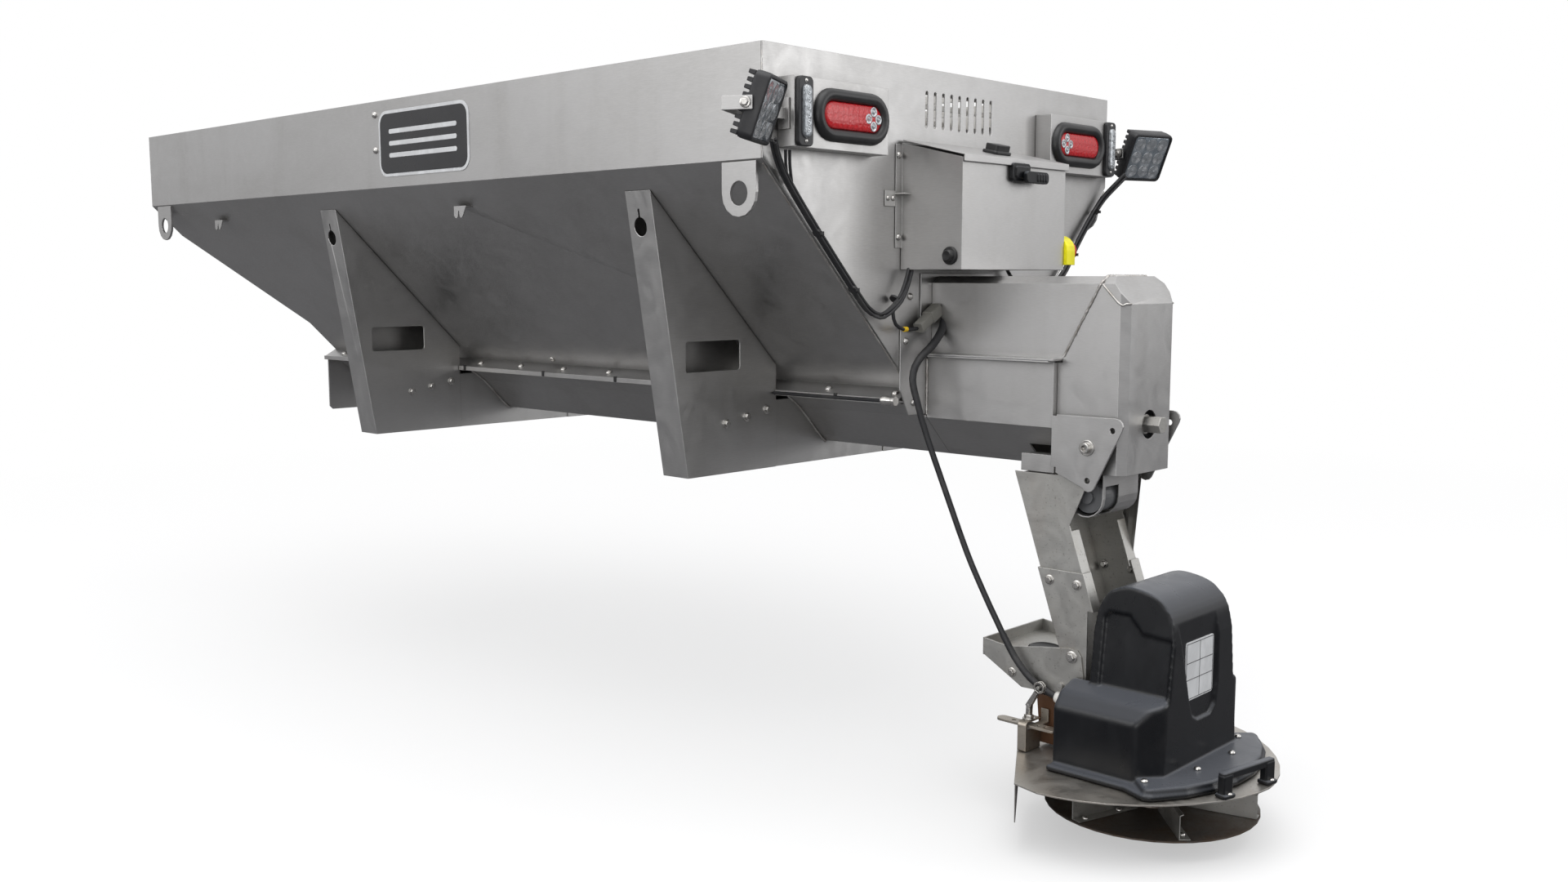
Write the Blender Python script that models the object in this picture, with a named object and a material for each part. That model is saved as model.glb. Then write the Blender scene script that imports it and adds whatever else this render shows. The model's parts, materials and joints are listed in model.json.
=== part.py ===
"""Slide-in salt spreader for a pickup bed: V-shaped hopper, auger, hanging chute and spinner.

Metres, +Z up. X runs across the machine (+X right, seen from behind), +Y runs forward to the cab.
Origin: the middle of the rear cross member's sole, which rests on the bed with the legs.
Y values below are measured from the outer face of the hopper's rear wall, ORIGIN_Y behind the origin.
"""

import math

import bmesh
import bpy
from mathutils import Matrix, Vector

# Driving dimensions, in metres.
SHEET = 0.003            # stainless sheet of the body
GAP = 0.0004             # daylight between two pieces that touch
HALF_WIDTH = 0.55        # hopper, outer
LENGTH = 2.40            # hopper, outer, at the rim
RIM_Z = 0.777            # top edge of the hopper
SKIRT_Z = 0.586          # where the upright skirt turns into the 45 degree slope
FOOT_X = 0.1415          # lower end of the slope, from the middle
FRONT_BEND_Z = 0.505     # where the front wall turns into its own slope
FRONT_FOOT_Y = 2.150     # lower, upright part of the front wall
RAIL_Z = 0.148           # underside of the trough's mounting rail
RAIL_X = 0.1795          # outer edge of that rail
HEM = 0.020              # folded rim
LEG_DEPTH = 0.071        # channel width of a leg, along Y
LEG_REAR_Y = 0.325
LEG_FRONT_Y = 1.4585
LEG_INNER_X = 0.175
ORIGIN_Y = LEG_REAR_Y + LEG_DEPTH / 2
AUGER_Z = 0.128          # auger axis
AUGER_RADIUS = 0.068
AUGER_PITCH = 0.120
TUNNEL_X = 0.086         # half width of the cover behind the hopper
TUNNEL_TOP = 0.390       # its flat top, between two chamfers
TUNNEL_CHAMFER = (0.021, 0.013)            # width and height of a chamfer
BOX_REAR_Y = -0.425      # rear face of the end box
BOX_BOTTOM = 0.042
PIVOT = Vector((0.0, -0.362, 0.0896))      # chute pivot bolts
CHUTE_LEAN = math.radians(19.0)            # from upright, towards the rear
CHUTE_HALF = 0.0955                        # upper chute, outer half width
CHUTE_FRONT = 0.1645                       # pivot to the chute's front wall, square to the chute
CHUTE_REAR = 0.0820                        # pivot to the chute's rear lips
CHUTE_LIP = 0.028
LEVEL_PIN = Vector((0.0, -0.320, -0.350))  # the spinner unit is levelled about this pin
SPIN_Y = -0.4507                           # spinner axis
DECK_Z = -0.479                            # top of the spinner deck
DECK_HALF = 0.293
DECK_DEPTH = 0.278                         # from the deck's widest line to its rear edge
DECK_WIDEST_Y = -0.395
DECK_NOSE = (0.105, -0.2307)               # a corner of the deck's straight front edge
DECK_SHOULDER = (0.2815, -0.342)           # where the front chamfer meets the round rear
DISC_Z = -0.560                            # top of the disc
DISC_RADIUS = 0.191
VANES = 6
LAMP_DEPTH = 0.038                         # lamp box, from the rear wall
LAMP_TILT_PIN = Vector((0.615, -0.050, 0.660))
STOP_BUTTON = (-0.118, 0.440)              # Y and Z of the emergency stop's axis
LATCH_Z = 0.574


# ---------------------------------------------------------------- shapes
def place(axis, u, v, w):
    """A point drawn at (u, v) across an axis and w along it."""
    return {"x": (w, u, v), "y": (u, w, v), "z": (u, v, w)}[axis]


def prism(outline, axis, low, high):
    """A closed prism: an outline across an axis, stretched from low to high."""
    shape = bmesh.new()
    near = [shape.verts.new(place(axis, u, v, low)) for u, v in outline]
    far = [shape.verts.new(place(axis, u, v, high)) for u, v in outline]
    shape.faces.new(near)
    shape.faces.new(far)
    for i in range(len(outline)):
        shape.faces.new((near[i - 1], near[i], far[i], far[i - 1]))
    return shape


def block(low, high):
    """A box between two corners."""
    outline = [(low[0], low[1]), (high[0], low[1]), (high[0], high[1]), (low[0], high[1])]
    return prism(outline, "z", low[2], high[2])


def circle(u, v, radius, steps=20, start=0.0):
    """Corners of a round outline."""
    turn = 2 * math.pi / steps
    return [(u + radius * math.cos(start + i * turn), v + radius * math.sin(start + i * turn))
            for i in range(steps)]


def rod(axis, centre, radius, low, high, steps=20):
    """A round bar along an axis."""
    return prism(circle(centre[0], centre[1], radius, steps), axis, low, high)


def rounded_box(u0, v0, u1, v1, radius, steps=4):
    """Corners of a rectangle with round corners."""
    outline = []
    corners = ((u1, v1, 0), (u0, v1, 1), (u0, v0, 2), (u1, v0, 3))
    for cu, cv, quarter in corners:
        mu = cu - radius if cu == u1 else cu + radius
        mv = cv - radius if cv == v1 else cv + radius
        for i in range(steps + 1):
            angle = (quarter + i / steps) * math.pi / 2
            outline.append((mu + radius * math.cos(angle), mv + radius * math.sin(angle)))
    return outline


def offset_path(path, distance):
    """The path moved to its left by a distance, with mitred corners."""
    moved = []
    for i, (u, v) in enumerate(path):
        normals = []
        for a, b in ((i - 1, i), (i, i + 1)):
            if a >= 0 and b < len(path):
                du, dv = path[b][0] - path[a][0], path[b][1] - path[a][1]
                length = math.hypot(du, dv)
                normals.append((-dv / length, du / length))
        nu = sum(n[0] for n in normals) / len(normals)
        nv = sum(n[1] for n in normals) / len(normals)
        reach = distance / (nu * nu + nv * nv)
        moved.append((u + nu * reach, v + nv * reach))
    return moved


def folded(path, thickness, axis, low, high):
    """Folded sheet: a path across an axis, thickened to its left and stretched along the axis."""
    other = offset_path(path, thickness)
    shape = bmesh.new()
    rows = [[shape.verts.new(place(axis, u, v, w)) for u, v in line]
            for line, w in ((path, low), (other, low), (other, high), (path, high))]
    for i in range(len(path) - 1):
        for side in range(4):
            a, b = rows[side], rows[(side + 1) % 4]
            shape.faces.new((a[i], a[i + 1], b[i + 1], b[i]))
    shape.faces.new([row[0] for row in rows])
    shape.faces.new([row[-1] for row in rows])
    return shape


def mirrored_path(half):
    """A path and its mirror image across the middle plane, joined end to end."""
    return half + [(-u, v) for u, v in reversed(half)]


def turned(profile, centre, steps=24):
    """A solid turned about an upright axis; the profile (radius, height) starts and ends at radius 0."""
    shape = bmesh.new()
    rings = []
    for radius, height in profile:
        if radius == 0:
            rings.append([shape.verts.new((centre[0], centre[1], height))])
        else:
            rings.append([shape.verts.new((u, v, height))
                          for u, v in circle(centre[0], centre[1], radius, steps)])
    for a, b in zip(rings, rings[1:]):
        for i in range(steps):
            corners = [a[i - 1 if len(a) > 1 else 0], a[i if len(a) > 1 else 0],
                       b[i if len(b) > 1 else 0], b[i - 1 if len(b) > 1 else 0]]
            shape.faces.new(list(dict.fromkeys(corners)))
    return shape


def moved(shape, matrix):
    """The shape after a turn or a shift."""
    bmesh.ops.transform(shape, matrix=matrix, verts=shape.verts)
    return shape


def mirrored(shape):
    """The shape's mirror image across the middle plane."""
    return moved(shape, Matrix.Scale(-1, 4, (1, 0, 0)))


# ---------------------------------------------------------------- objects
def colour(name, rgb, roughness, metallic):
    """A plain Principled material."""
    material = bpy.data.materials.new(name)
    material.use_nodes = True
    shader = material.node_tree.nodes["Principled BSDF"]
    shader.inputs["Base Color"].default_value = (*rgb, 1.0)
    shader.inputs["Roughness"].default_value = roughness
    shader.inputs["Metallic"].default_value = metallic
    material.diffuse_color = (*rgb, 1.0)
    return material


def mesh_of(shape, name):
    bmesh.ops.recalc_face_normals(shape, faces=shape.faces)
    mesh = bpy.data.meshes.new(name)
    shape.to_mesh(mesh)
    shape.free()
    return mesh


def apply_boolean(target, shape, operation):
    """One exact Boolean step on the target, with the tool cleared away afterwards."""
    tool = bpy.data.objects.new("tool", mesh_of(shape, "tool"))
    bpy.context.collection.objects.link(tool)
    step = target.modifiers.new(operation, "BOOLEAN")
    step.operation = operation
    step.object = tool
    graph = bpy.context.evaluated_depsgraph_get()
    result = bpy.data.meshes.new_from_object(target.evaluated_get(graph))
    target.modifiers.clear()
    target.data = result
    bpy.data.objects.remove(tool)


def make(name, look, shapes, cuts=(), parent=None, keep=None):
    """A named part: its shapes united, then cut, then hung on its parent empty.

    Shapes are drawn from the rear wall; the shift to the origin and the parent's own place are taken off.
    """
    part = bpy.data.objects.new(name, mesh_of(shapes[0], name))
    bpy.context.collection.objects.link(part)
    for shape in shapes[1:]:
        apply_boolean(part, shape, "UNION")
    if keep:
        apply_boolean(part, keep, "INTERSECT")
    for shape in cuts:
        apply_boolean(part, shape, "DIFFERENCE")
    part.data.name = name
    part.data.materials.clear()
    part.data.materials.append(look)
    part.data.shade_smooth()
    part.data.set_sharp_from_angle(angle=math.radians(32))
    part.data.transform(Matrix.Translation((0, -ORIGIN_Y, 0)))
    if parent:
        part.parent = parent
        part.data.transform(parent.matrix_world.inverted())
    return part


def joint(name, place_at, parent=None):
    """An empty on a joint's axis, which carries the pieces that move with it."""
    empty = bpy.data.objects.new(name, None)
    empty.empty_display_size = 0.05
    bpy.context.collection.objects.link(empty)
    empty.parent = parent
    start = parent.matrix_world.translation if parent else Vector()
    empty.location = Vector(place_at) - Vector((0, ORIGIN_Y, 0)) - start
    bpy.context.view_layer.update()
    return empty


for old in list(bpy.data.objects):
    bpy.data.objects.remove(old)

STEEL = colour("brushed_stainless", (0.56, 0.56, 0.57), 0.38, 1.0)
STEEL_DARK = colour("worn_stainless", (0.42, 0.41, 0.39), 0.45, 1.0)
SATIN_BLACK = colour("black_plastic", (0.03, 0.031, 0.034), 0.45, 0.0)
LENS_RED = colour("red_lens", (0.62, 0.02, 0.03), 0.15, 0.0)
LENS_CLEAR = colour("clear_lens", (0.72, 0.75, 0.77), 0.12, 0.0)
LAMP_BLACK = colour("black_aluminium", (0.035, 0.035, 0.04), 0.4, 0.6)
YELLOW = colour("yellow_plastic", (0.85, 0.78, 0.02), 0.4, 0.0)
RED = colour("red_plastic", (0.6, 0.02, 0.02), 0.35, 0.0)
GREY = colour("grey_motor", (0.32, 0.33, 0.35), 0.45, 0.5)
ORANGE = colour("orange_rubber", (0.7, 0.28, 0.03), 0.55, 0.0)


# ---------------------------------------------------------------- hopper
TROUGH_HALF = [(-RAIL_X, RAIL_Z + 0.011), (-RAIL_X, RAIL_Z), (-0.140, RAIL_Z), (-0.099, 0.119),
               (-0.034, 0.054), (-0.018, 0.041)]
TROUGH_PATH = mirrored_path(TROUGH_HALF)
FRONT_PATH = [(LENGTH - HEM, RIM_Z - 0.012), (LENGTH - HEM, RIM_Z), (LENGTH, RIM_Z),
              (LENGTH, FRONT_BEND_Z), (FRONT_FOOT_Y, FRONT_BEND_Z - (LENGTH - FRONT_FOOT_Y)),
              (FRONT_FOOT_Y, RAIL_Z + 0.004)]
SLOPE_SUM = SKIRT_Z - HALF_WIDTH   # on the left slope, x + z has this value
LEG_STARTS = (LEG_REAR_Y, LEG_FRONT_Y)


def hopper_outline(inset):
    """The hopper's section across Y, drawn inset from its outer faces."""
    half = [(-HALF_WIDTH + inset, 0.9), (-HALF_WIDTH + inset, SKIRT_Z + 0.41 * inset),
            (-FOOT_X + 0.41 * inset, FOOT_X + SLOPE_SUM + inset), (-FOOT_X + 0.41 * inset, RAIL_Z + 0.004)]
    return mirrored_path(half)


def leg_clearances():
    """Where the four legs pass the rail on the left side."""
    return [block((-0.3, y - 0.001, 0.10), (-LEG_INNER_X + 0.0006, y + LEG_DEPTH + 0.001, RAIL_Z + 0.022))
            for y in LEG_STARTS]


def side_panel():
    """The left side panel: hem, skirt, slope and the flange that the trough bolts to."""
    path = [(-HALF_WIDTH + HEM, RIM_Z - 0.012), (-HALF_WIDTH + HEM, RIM_Z), (-HALF_WIDTH, RIM_Z),
            (-HALF_WIDTH, SKIRT_Z), (-FOOT_X, FOOT_X + SLOPE_SUM), (-RAIL_X + 0.004, RAIL_Z + 0.0105)]
    shapes = [folded(path, SHEET, "y", SHEET + GAP, LENGTH - SHEET - GAP)]
    for centre_y in (0.057, 2.325):
        shapes.append(lifting_lug(centre_y))
    for hook_y in (0.930, 2.060):
        shapes += tarp_hook(hook_y)
    front = offset_path(FRONT_PATH[2:], -SHEET - GAP)
    ahead = [(front[0][0], 0.9)] + front[1:-1] + [(front[-1][0], 0.05), (2.7, 0.05), (2.7, 0.9)]
    return shapes, [prism(ahead, "x", -0.6, 0.0)] + leg_clearances()


def lifting_lug(centre_y):
    """A flat lifting eye under the skirt, with a 42 mm hole."""
    eye_z, radius = 0.531, 0.041
    outline = [(centre_y - radius, SKIRT_Z - 0.003), (centre_y - radius, eye_z)]
    outline += [(centre_y - radius * math.cos(i * math.pi / 8), eye_z - radius * math.sin(i * math.pi / 8))
                for i in range(1, 8)]
    outline += [(centre_y + radius, eye_z), (centre_y + radius, SKIRT_Z - 0.003)]
    lug = prism(outline, "x", -HALF_WIDTH + 0.0005, -HALF_WIDTH + 0.0065)
    plate = bpy.data.objects.new("lug", mesh_of(lug, "lug"))
    bpy.context.collection.objects.link(plate)
    apply_boolean(plate, rod("x", (centre_y, eye_z - 0.001), 0.021, -0.6, -0.5), "DIFFERENCE")
    shape = bmesh.new()
    shape.from_mesh(plate.data)
    bpy.data.objects.remove(plate)
    return shape


def tarp_hook(centre_y):
    """A small hook on the slope for the cover's cord: a ledge and the split tongue that hangs from it."""
    out_x, ledge_z, half = -0.519, 0.5375, 0.022
    inside = SLOPE_SUM - ledge_z + SHEET
    ledge = block((out_x, centre_y - half, ledge_z - 0.0015), (inside, centre_y + half, ledge_z + 0.0015))
    tongue = [(0.022, 0.0), (0.022, -0.019), (0.017, -0.024), (0.011, -0.024), (0.008, -0.020), (0.006, -0.009),
               (0.003, -0.009), (0.001, -0.020), (-0.002, -0.024), (-0.007, -0.023), (-0.012, -0.017),
               (-0.022, 0.0)]
    outline = [(centre_y + u, ledge_z + v) for u, v in tongue]
    return [ledge, prism(outline, "x", out_x, out_x + 0.0025)]


def rear_wall():
    """The flat rear wall with its folded rim, the row of slots and the way out for the auger."""
    outline = [(-HALF_WIDTH, RIM_Z), (HALF_WIDTH, RIM_Z), (HALF_WIDTH, SKIRT_Z),
               (FOOT_X, FOOT_X + SLOPE_SUM), (FOOT_X - 0.004, RAIL_Z + 0.004),
               (-FOOT_X + 0.004, RAIL_Z + 0.004), (-FOOT_X, FOOT_X + SLOPE_SUM), (-HALF_WIDTH, SKIRT_Z)]
    inner = HALF_WIDTH - HEM - GAP
    hem = folded([(0.001, RIM_Z), (HEM, RIM_Z), (HEM, RIM_Z - 0.012)], -SHEET, "x", -inner, inner)
    cuts = [block((-0.083, -0.01, 0.10), (0.083, 0.01, 0.300))]
    for i in range(9):
        x = (i - 4) * 0.026
        cuts.append(prism(rounded_box(x - 0.004, 0.668, x + 0.004, 0.736, 0.0038, 3), "y", -0.01, 0.01))
    return [prism(outline, "y", 0.0, SHEET), hem], cuts


def front_wall():
    """The front wall: upright, then sloping back under the load, then upright to the trough."""
    wide = folded(FRONT_PATH, -SHEET, "x", -HALF_WIDTH, HALF_WIDTH)
    keep = prism(hopper_outline(0.0), "y", LENGTH - 0.6, LENGTH + 0.1)
    cuts = []
    for side in (-1, 1):
        low, high = sorted((side * (HALF_WIDTH - HEM - GAP), side * (HALF_WIDTH + 0.05)))
        cuts.append(block((low, LENGTH - 0.1, RIM_Z - 0.02), (high, LENGTH - SHEET, RIM_Z + 0.01)))
    cuts.append(rod("y", (0, AUGER_Z), 0.03, 2.0, 2.3))
    return wide, keep, cuts


def leg(start_y):
    """A left leg: two plates joined by a slanted outer web and a sole, with a window and a keyhole."""
    top_x, bottom_x = -0.5135, -0.423
    slope = SLOPE_SUM - 0.0008
    outline = [(top_x, slope - top_x), (bottom_x, 0.0), (-LEG_INNER_X, 0.0),
               (-LEG_INNER_X, slope + LEG_INNER_X)]
    web = [(top_x, slope - top_x), (bottom_x, 0.0), (-LEG_INNER_X, 0.0)]
    end_y = start_y + LEG_DEPTH
    shapes = [folded(web, SHEET, "y", start_y, end_y),
              prism(outline, "y", start_y, start_y + SHEET),
              prism(outline, "y", end_y - SHEET, end_y)]
    middle = start_y + LEG_DEPTH / 2
    window = prism(rounded_box(-0.4262, 0.2055, -0.2797, 0.2646, 0.006, 2), "y",
                   start_y - 0.01, start_y + 0.01)
    above = [(-0.6, slope + 0.6), (-0.1, slope + 0.1), (-0.1, 0.7), (-0.6, 0.7)]
    keyhole_y, keyhole_z = middle + 0.004, 0.482
    cuts = [window, rod("x", (keyhole_y, keyhole_z), 0.0175, -0.6, -0.47),
            block((-0.6, keyhole_y - 0.0025, keyhole_z), (-0.47, keyhole_y + 0.0025, keyhole_z + 0.033)),
            prism(above, "y", start_y - 0.01, end_y + 0.01)]
    return shapes, cuts


def cross_member(start_y):
    """A channel between two legs that cradles the trough."""
    low, high = start_y + SHEET + GAP, start_y + LEG_DEPTH - SHEET - GAP
    half, sole = 0.335, LEG_INNER_X - 0.0008
    outline = [(-half, 0.0034), (-sole, 0.0034), (-sole, 0.0), (sole, 0.0), (sole, 0.0034), (half, 0.0034),
               (half, 0.138), (-half, 0.138)]
    shapes = [block((-sole, low, 0.0), (sole, high, SHEET)),
              prism(outline, "y", low, low + SHEET), prism(outline, "y", high - SHEET, high)]
    cradle = offset_path(TROUGH_PATH, -0.0008) + [(RAIL_X + 0.02, 0.25), (-RAIL_X - 0.02, 0.25)]
    return shapes, [prism(cradle, "y", low - 0.01, high + 0.01)]


def auger_trough():
    """The folded trough under the hopper, with its mounting rails."""
    shapes = [folded(TROUGH_PATH, SHEET, "y", -SHEET - GAP, FRONT_FOOT_Y - SHEET - GAP)]
    cuts = []
    for side in (-1, 1):
        low, high = sorted((side * 0.0995, side * 0.3))
        cuts.append(block((low, -0.1, 0.0), (high, SHEET + GAP, 0.3)))
        for y in LEG_STARTS:
            low, high = sorted((side * (LEG_INNER_X - 0.0006), side * 0.3))
            cuts.append(block((low, y - 0.001, 0.0), (high, y + LEG_DEPTH + 0.001, 0.3)))
    return shapes, cuts


def top_screen():
    """The lift-out screen over the opening: a flat frame with crossing bars."""
    x, low_y, high_y, z = HALF_WIDTH - HEM - 0.006, 0.026, LENGTH - HEM - 0.006, 0.735
    shapes = [block((-x, low_y, z), (x, low_y + 0.008, z + 0.03)),
              block((-x, high_y - 0.008, z), (x, high_y, z + 0.03))]
    for side in (-1, 1):
        low, high = sorted((side * x, side * (x - 0.008)))
        shapes.append(block((low, low_y, z), (high, high_y, z + 0.03)))
    for i in range(1, 5):
        at = -x + i * 2 * x / 5
        shapes.append(block((at - 0.003, low_y, z + 0.006), (at + 0.003, high_y, z + 0.024)))
    for i in range(1, 12):
        at = low_y + i * (high_y - low_y) / 12
        shapes.append(block((-x, at - 0.003, z + 0.009), (x, at + 0.003, z + 0.021)))
    return shapes


def build_hopper():
    shapes, cuts = side_panel()
    make("side_panel_left", STEEL, shapes, cuts)
    shapes, cuts = side_panel()
    make("side_panel_right", STEEL, [mirrored(s) for s in shapes], [mirrored(s) for s in cuts])
    shapes, cuts = rear_wall()
    make("rear_wall", STEEL, shapes, cuts)
    wide, keep, cuts = front_wall()
    make("front_wall", STEEL, [wide], cuts, keep=keep)
    shapes, cuts = auger_trough()
    make("auger_trough", STEEL, shapes, cuts)
    make("top_screen", STEEL_DARK, top_screen())
    baffle = folded([(-0.115, 0.300), (0.0, 0.385), (0.115, 0.300)], SHEET, "y", 0.006, 2.10)
    make("salt_baffle", STEEL_DARK, [baffle])
    for label, start_y in (("rear", LEG_REAR_Y), ("front", LEG_FRONT_Y)):
        shapes, cuts = leg(start_y)
        make(f"leg_{label}_left", STEEL, shapes, cuts)
        shapes, cuts = leg(start_y)
        make(f"leg_{label}_right", STEEL, [mirrored(s) for s in shapes], [mirrored(s) for s in cuts])
        shapes, cuts = cross_member(start_y)
        make(f"cross_member_{label}", STEEL, shapes, cuts)
    plate_y = FRONT_FOOT_Y + GAP
    outline = [(-0.165, 0.158), (-0.165, 0.010), (-0.155, 0.0), (0.155, 0.0), (0.165, 0.010), (0.165, 0.158)]
    make("front_bearing_plate", STEEL,
         [prism(outline, "y", plate_y, plate_y + 0.004),
          rod("y", (0, AUGER_Z), 0.038, plate_y, plate_y + 0.032)],
         [rod("y", (0, AUGER_Z), 0.0175, 2.0, plate_y + 0.024)])


# ---------------------------------------------------------------- auger drive
def build_discharge():
    """The plate, trough, cover and box behind the hopper that lead the salt to the chute."""
    outline = [(-0.181, 0.290), (-0.181, 0.176), (-0.155, 0.126), (0.155, 0.126), (0.181, 0.176),
               (0.181, 0.290), (0.120, 0.290), (0.120, 0.396), (-0.120, 0.396), (-0.120, 0.290)]
    make("discharge_plate", STEEL, [prism(outline, "y", -SHEET - GAP, -GAP)],
         [block((-0.083, -0.1, 0.0), (0.083, 0.1, 0.372))])   # the way through for the salt

    start_y = -SHEET - 2 * GAP
    half = [(-0.118, 0.2370), (-0.099, 0.2370), (-0.099, 0.119), (-0.034, 0.054), (-0.018, 0.041)]
    outlet = block((-0.062, -0.284, 0.0), (0.062, -0.216, 0.085))
    end_y = start_y - 0.284
    ring = prism([(-0.0975, 0.2365), (-0.0975, 0.1183), (-0.060, 0.0805), (-0.060, 0.2365)], "y",
                 end_y, end_y + SHEET)
    collar = folded([(-0.0915, 0.0360), (-0.0915, 0.0680), (-0.040, 0.0680)], -SHEET, "y", end_y, -0.2175)
    make("trough_extension", STEEL,
         [folded(mirrored_path(half), SHEET, "y", end_y, start_y - 0.0004), ring, mirrored(ring.copy()), collar,
          mirrored(collar.copy())], [outlet])

    base = 0.2404
    inner = TUNNEL_X - SHEET
    wide, high = TUNNEL_CHAMFER
    half = [(-0.118, base), (-inner, base), (-inner, TUNNEL_TOP - high - 0.0015),
            (-inner + wide - 0.0015, TUNNEL_TOP - SHEET)]
    cover = folded(mirrored_path(half), SHEET, "y", -0.40, start_y)
    mitre = [(-0.2978, 0.2), (-0.2978, 0.2424), (-0.3036, 0.253), (-0.3726, TUNNEL_TOP - high),
             (-0.3726, 0.45), (-0.5, 0.45), (-0.5, 0.2)]
    make("tunnel_cover", STEEL, [cover], [prism(mitre, "x", -0.2, 0.2)])
    make_end_box()


def end_box_body(inset):
    """The end box as a block, drawn inset from its outer faces; its front and bottom run past."""
    rear, top, past = BOX_REAR_Y + inset, TUNNEL_TOP - inset, 0.05 if inset else 0.0
    wide, high = TUNNEL_CHAMFER
    side = [(-0.2882 + past, BOX_BOTTOM - past), (-0.2882 + past, 0.2366), (-0.2982 + past, 0.2366),
            (-0.2982 + past, 0.2426), (-0.3040 + past, 0.2532), (-0.3730 + past, TUNNEL_TOP - high),
            (-0.3730 + past, top), (-0.3905, top), (rear, 0.342 - 0.4 * inset), (rear, BOX_BOTTOM - past)]
    half, corner = TUNNEL_X + 0.001 - inset, 0.014
    plan = [(-half, 0.0), (-half, rear + corner), (-half + corner, rear),
            (half - corner, rear), (half, rear + corner), (half, 0.0)]
    roof = [(-half, -0.1), (-half, top - high), (-half + wide, top), (half - wide, top), (half, top - high),
            (half, -0.1)]
    return prism(side, "x", -half, half), prism(plan, "z", -0.2, 0.6), prism(roof, "y", -0.6, 0.0)


def end_box_block(inset):
    """The same body with its corner and roof chamfers cut."""
    side, plan, roof = end_box_body(inset)
    return solid_of(side, [(plan, "INTERSECT"), (roof, "INTERSECT")])


def make_end_box():
    make("end_box", STEEL, [end_box_block(0.0)],
         [end_box_block(SHEET), rod("y", (0, AUGER_Z), 0.026, -0.5, -0.41, 24)])


def build_drive():
    """Gearbox and motor in and under the end box."""
    case = rod("y", (0, AUGER_Z), 0.060, -0.405, -0.334, 28)
    motor_y, motor_z = -0.352, -0.002
    neck = block((-0.022, -0.374, -0.022), (0.030, -0.333, 0.10))
    worm = rod("x", (motor_y, motor_z), 0.024, -0.022, 0.044, 20)
    make("auger_gearbox", GREY, [case, neck, worm], [rod("y", (0, AUGER_Z), 0.0185, -0.5, -0.3, 24)])
    can = rod("x", (motor_y, motor_z), 0.029, -0.078, -0.0224, 28)
    boss = rod("x", (motor_y, motor_z), 0.012, -0.084, -0.070, 16)
    make("auger_motor", GREY, [can, boss])
    arc = [(motor_y - 0.036 * math.cos(math.radians(a)), motor_z - 0.036 * math.sin(math.radians(a)))
           for a in range(-20, 201, 20)]
    guard = [(motor_y - 0.036, 0.0412)] + arc[1:-1] + [(motor_y + 0.036, 0.0412)]
    window = block((-0.080, -0.42, -0.036), (-0.034, motor_y - 0.006, 0.020))
    make("motor_guard", STEEL, [folded(guard, SHEET * 0.8, "x", -0.088, 0.034)], [window])


def build_pivot_brackets():
    """The two plates that carry the chute, each with a pivot bolt."""
    y, z = PIVOT.y, PIVOT.z
    tip = [(-0.366 + 0.013 * math.cos(math.radians(a)), 0.024 + 0.013 * math.sin(math.radians(a)))
           for a in range(-150, -29, 30)]
    shoulder = [(-0.418 + 0.014 * math.cos(math.radians(a)), 0.131 + 0.014 * math.sin(math.radians(a)))
                for a in range(90, 211, 30)]
    outline = [(-0.2990, 0.1448)] + shoulder + tip + [(-0.2990, 0.040)]
    plate_low, plate_high = 0.1000, 0.1040
    arm = block((-plate_high, -0.306, 0.050), (-0.0998, -0.2890, 0.142))
    for side, label in ((-1, "left"), (1, "right")):
        plate = prism(outline, "x", -plate_high, -plate_low)
        cuts = [rod("x", (y, z), 0.0068, -0.2, 0, 18), rod("x", (-0.4115, 0.123), 0.0055, -0.2, 0, 14),
                rod("x", (-0.3637, 0.031), 0.0055, -0.2, 0, 14)]
        shapes = [plate, arm.copy()]
        bolt = [rod("x", (y, z), 0.0063, -0.112, -0.0885, 18), rod("x", (y, z), 0.0120, -0.1075, -0.1044, 20),
                rod("x", (y, z), 0.0100, -0.1165, -0.1070, 6)]
        if side > 0:
            shapes, cuts, bolt = ([mirrored(s) for s in group] for group in (shapes, cuts, bolt))
        make(f"pivot_bracket_{label}", STEEL, shapes, cuts)
        make(f"pivot_bolt_{label}", STEEL_DARK, bolt)
    arm.free()


def build_auger(carrier):
    """The auger: a tube with one helical flight and a hexagonal drive end."""
    start_y, end_y, inner, thick = -0.215, 2.135, 0.018, 0.004
    flight = bmesh.new()
    steps_per_turn = 14
    steps = int((end_y - start_y - 0.03) / AUGER_PITCH * steps_per_turn)
    rows = []
    for i in range(steps + 1):
        angle = 2 * math.pi * i / steps_per_turn
        at = start_y + 0.01 + AUGER_PITCH * i / steps_per_turn
        blade = ((inner, 0.0), (AUGER_RADIUS, 0.0), (AUGER_RADIUS, thick), (inner, thick))
        cos, sin = math.cos(angle), math.sin(angle)
        rows.append([flight.verts.new((radius * cos, at + shift, AUGER_Z + radius * sin))
                     for radius, shift in blade])
    for a, b in zip(rows, rows[1:]):
        for i in range(4):
            flight.faces.new((a[i - 1], a[i], b[i], b[i - 1]))
    flight.faces.new(rows[0])
    flight.faces.new(rows[-1])
    tube = rod("y", (0, AUGER_Z), 0.024, start_y - 0.065, end_y - 0.002, 14)
    nose = rod("y", (0, AUGER_Z), 0.0172, end_y - 0.010, end_y + 0.036, 16)
    shaft = rod("y", (0, AUGER_Z), 0.0180, -0.419, start_y, 24)
    hexagon = rod("y", (0, AUGER_Z), 0.0160, -0.452, -0.400, 6)
    make("auger", STEEL_DARK, [tube, flight, nose, shaft, hexagon], parent=carrier)


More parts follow.
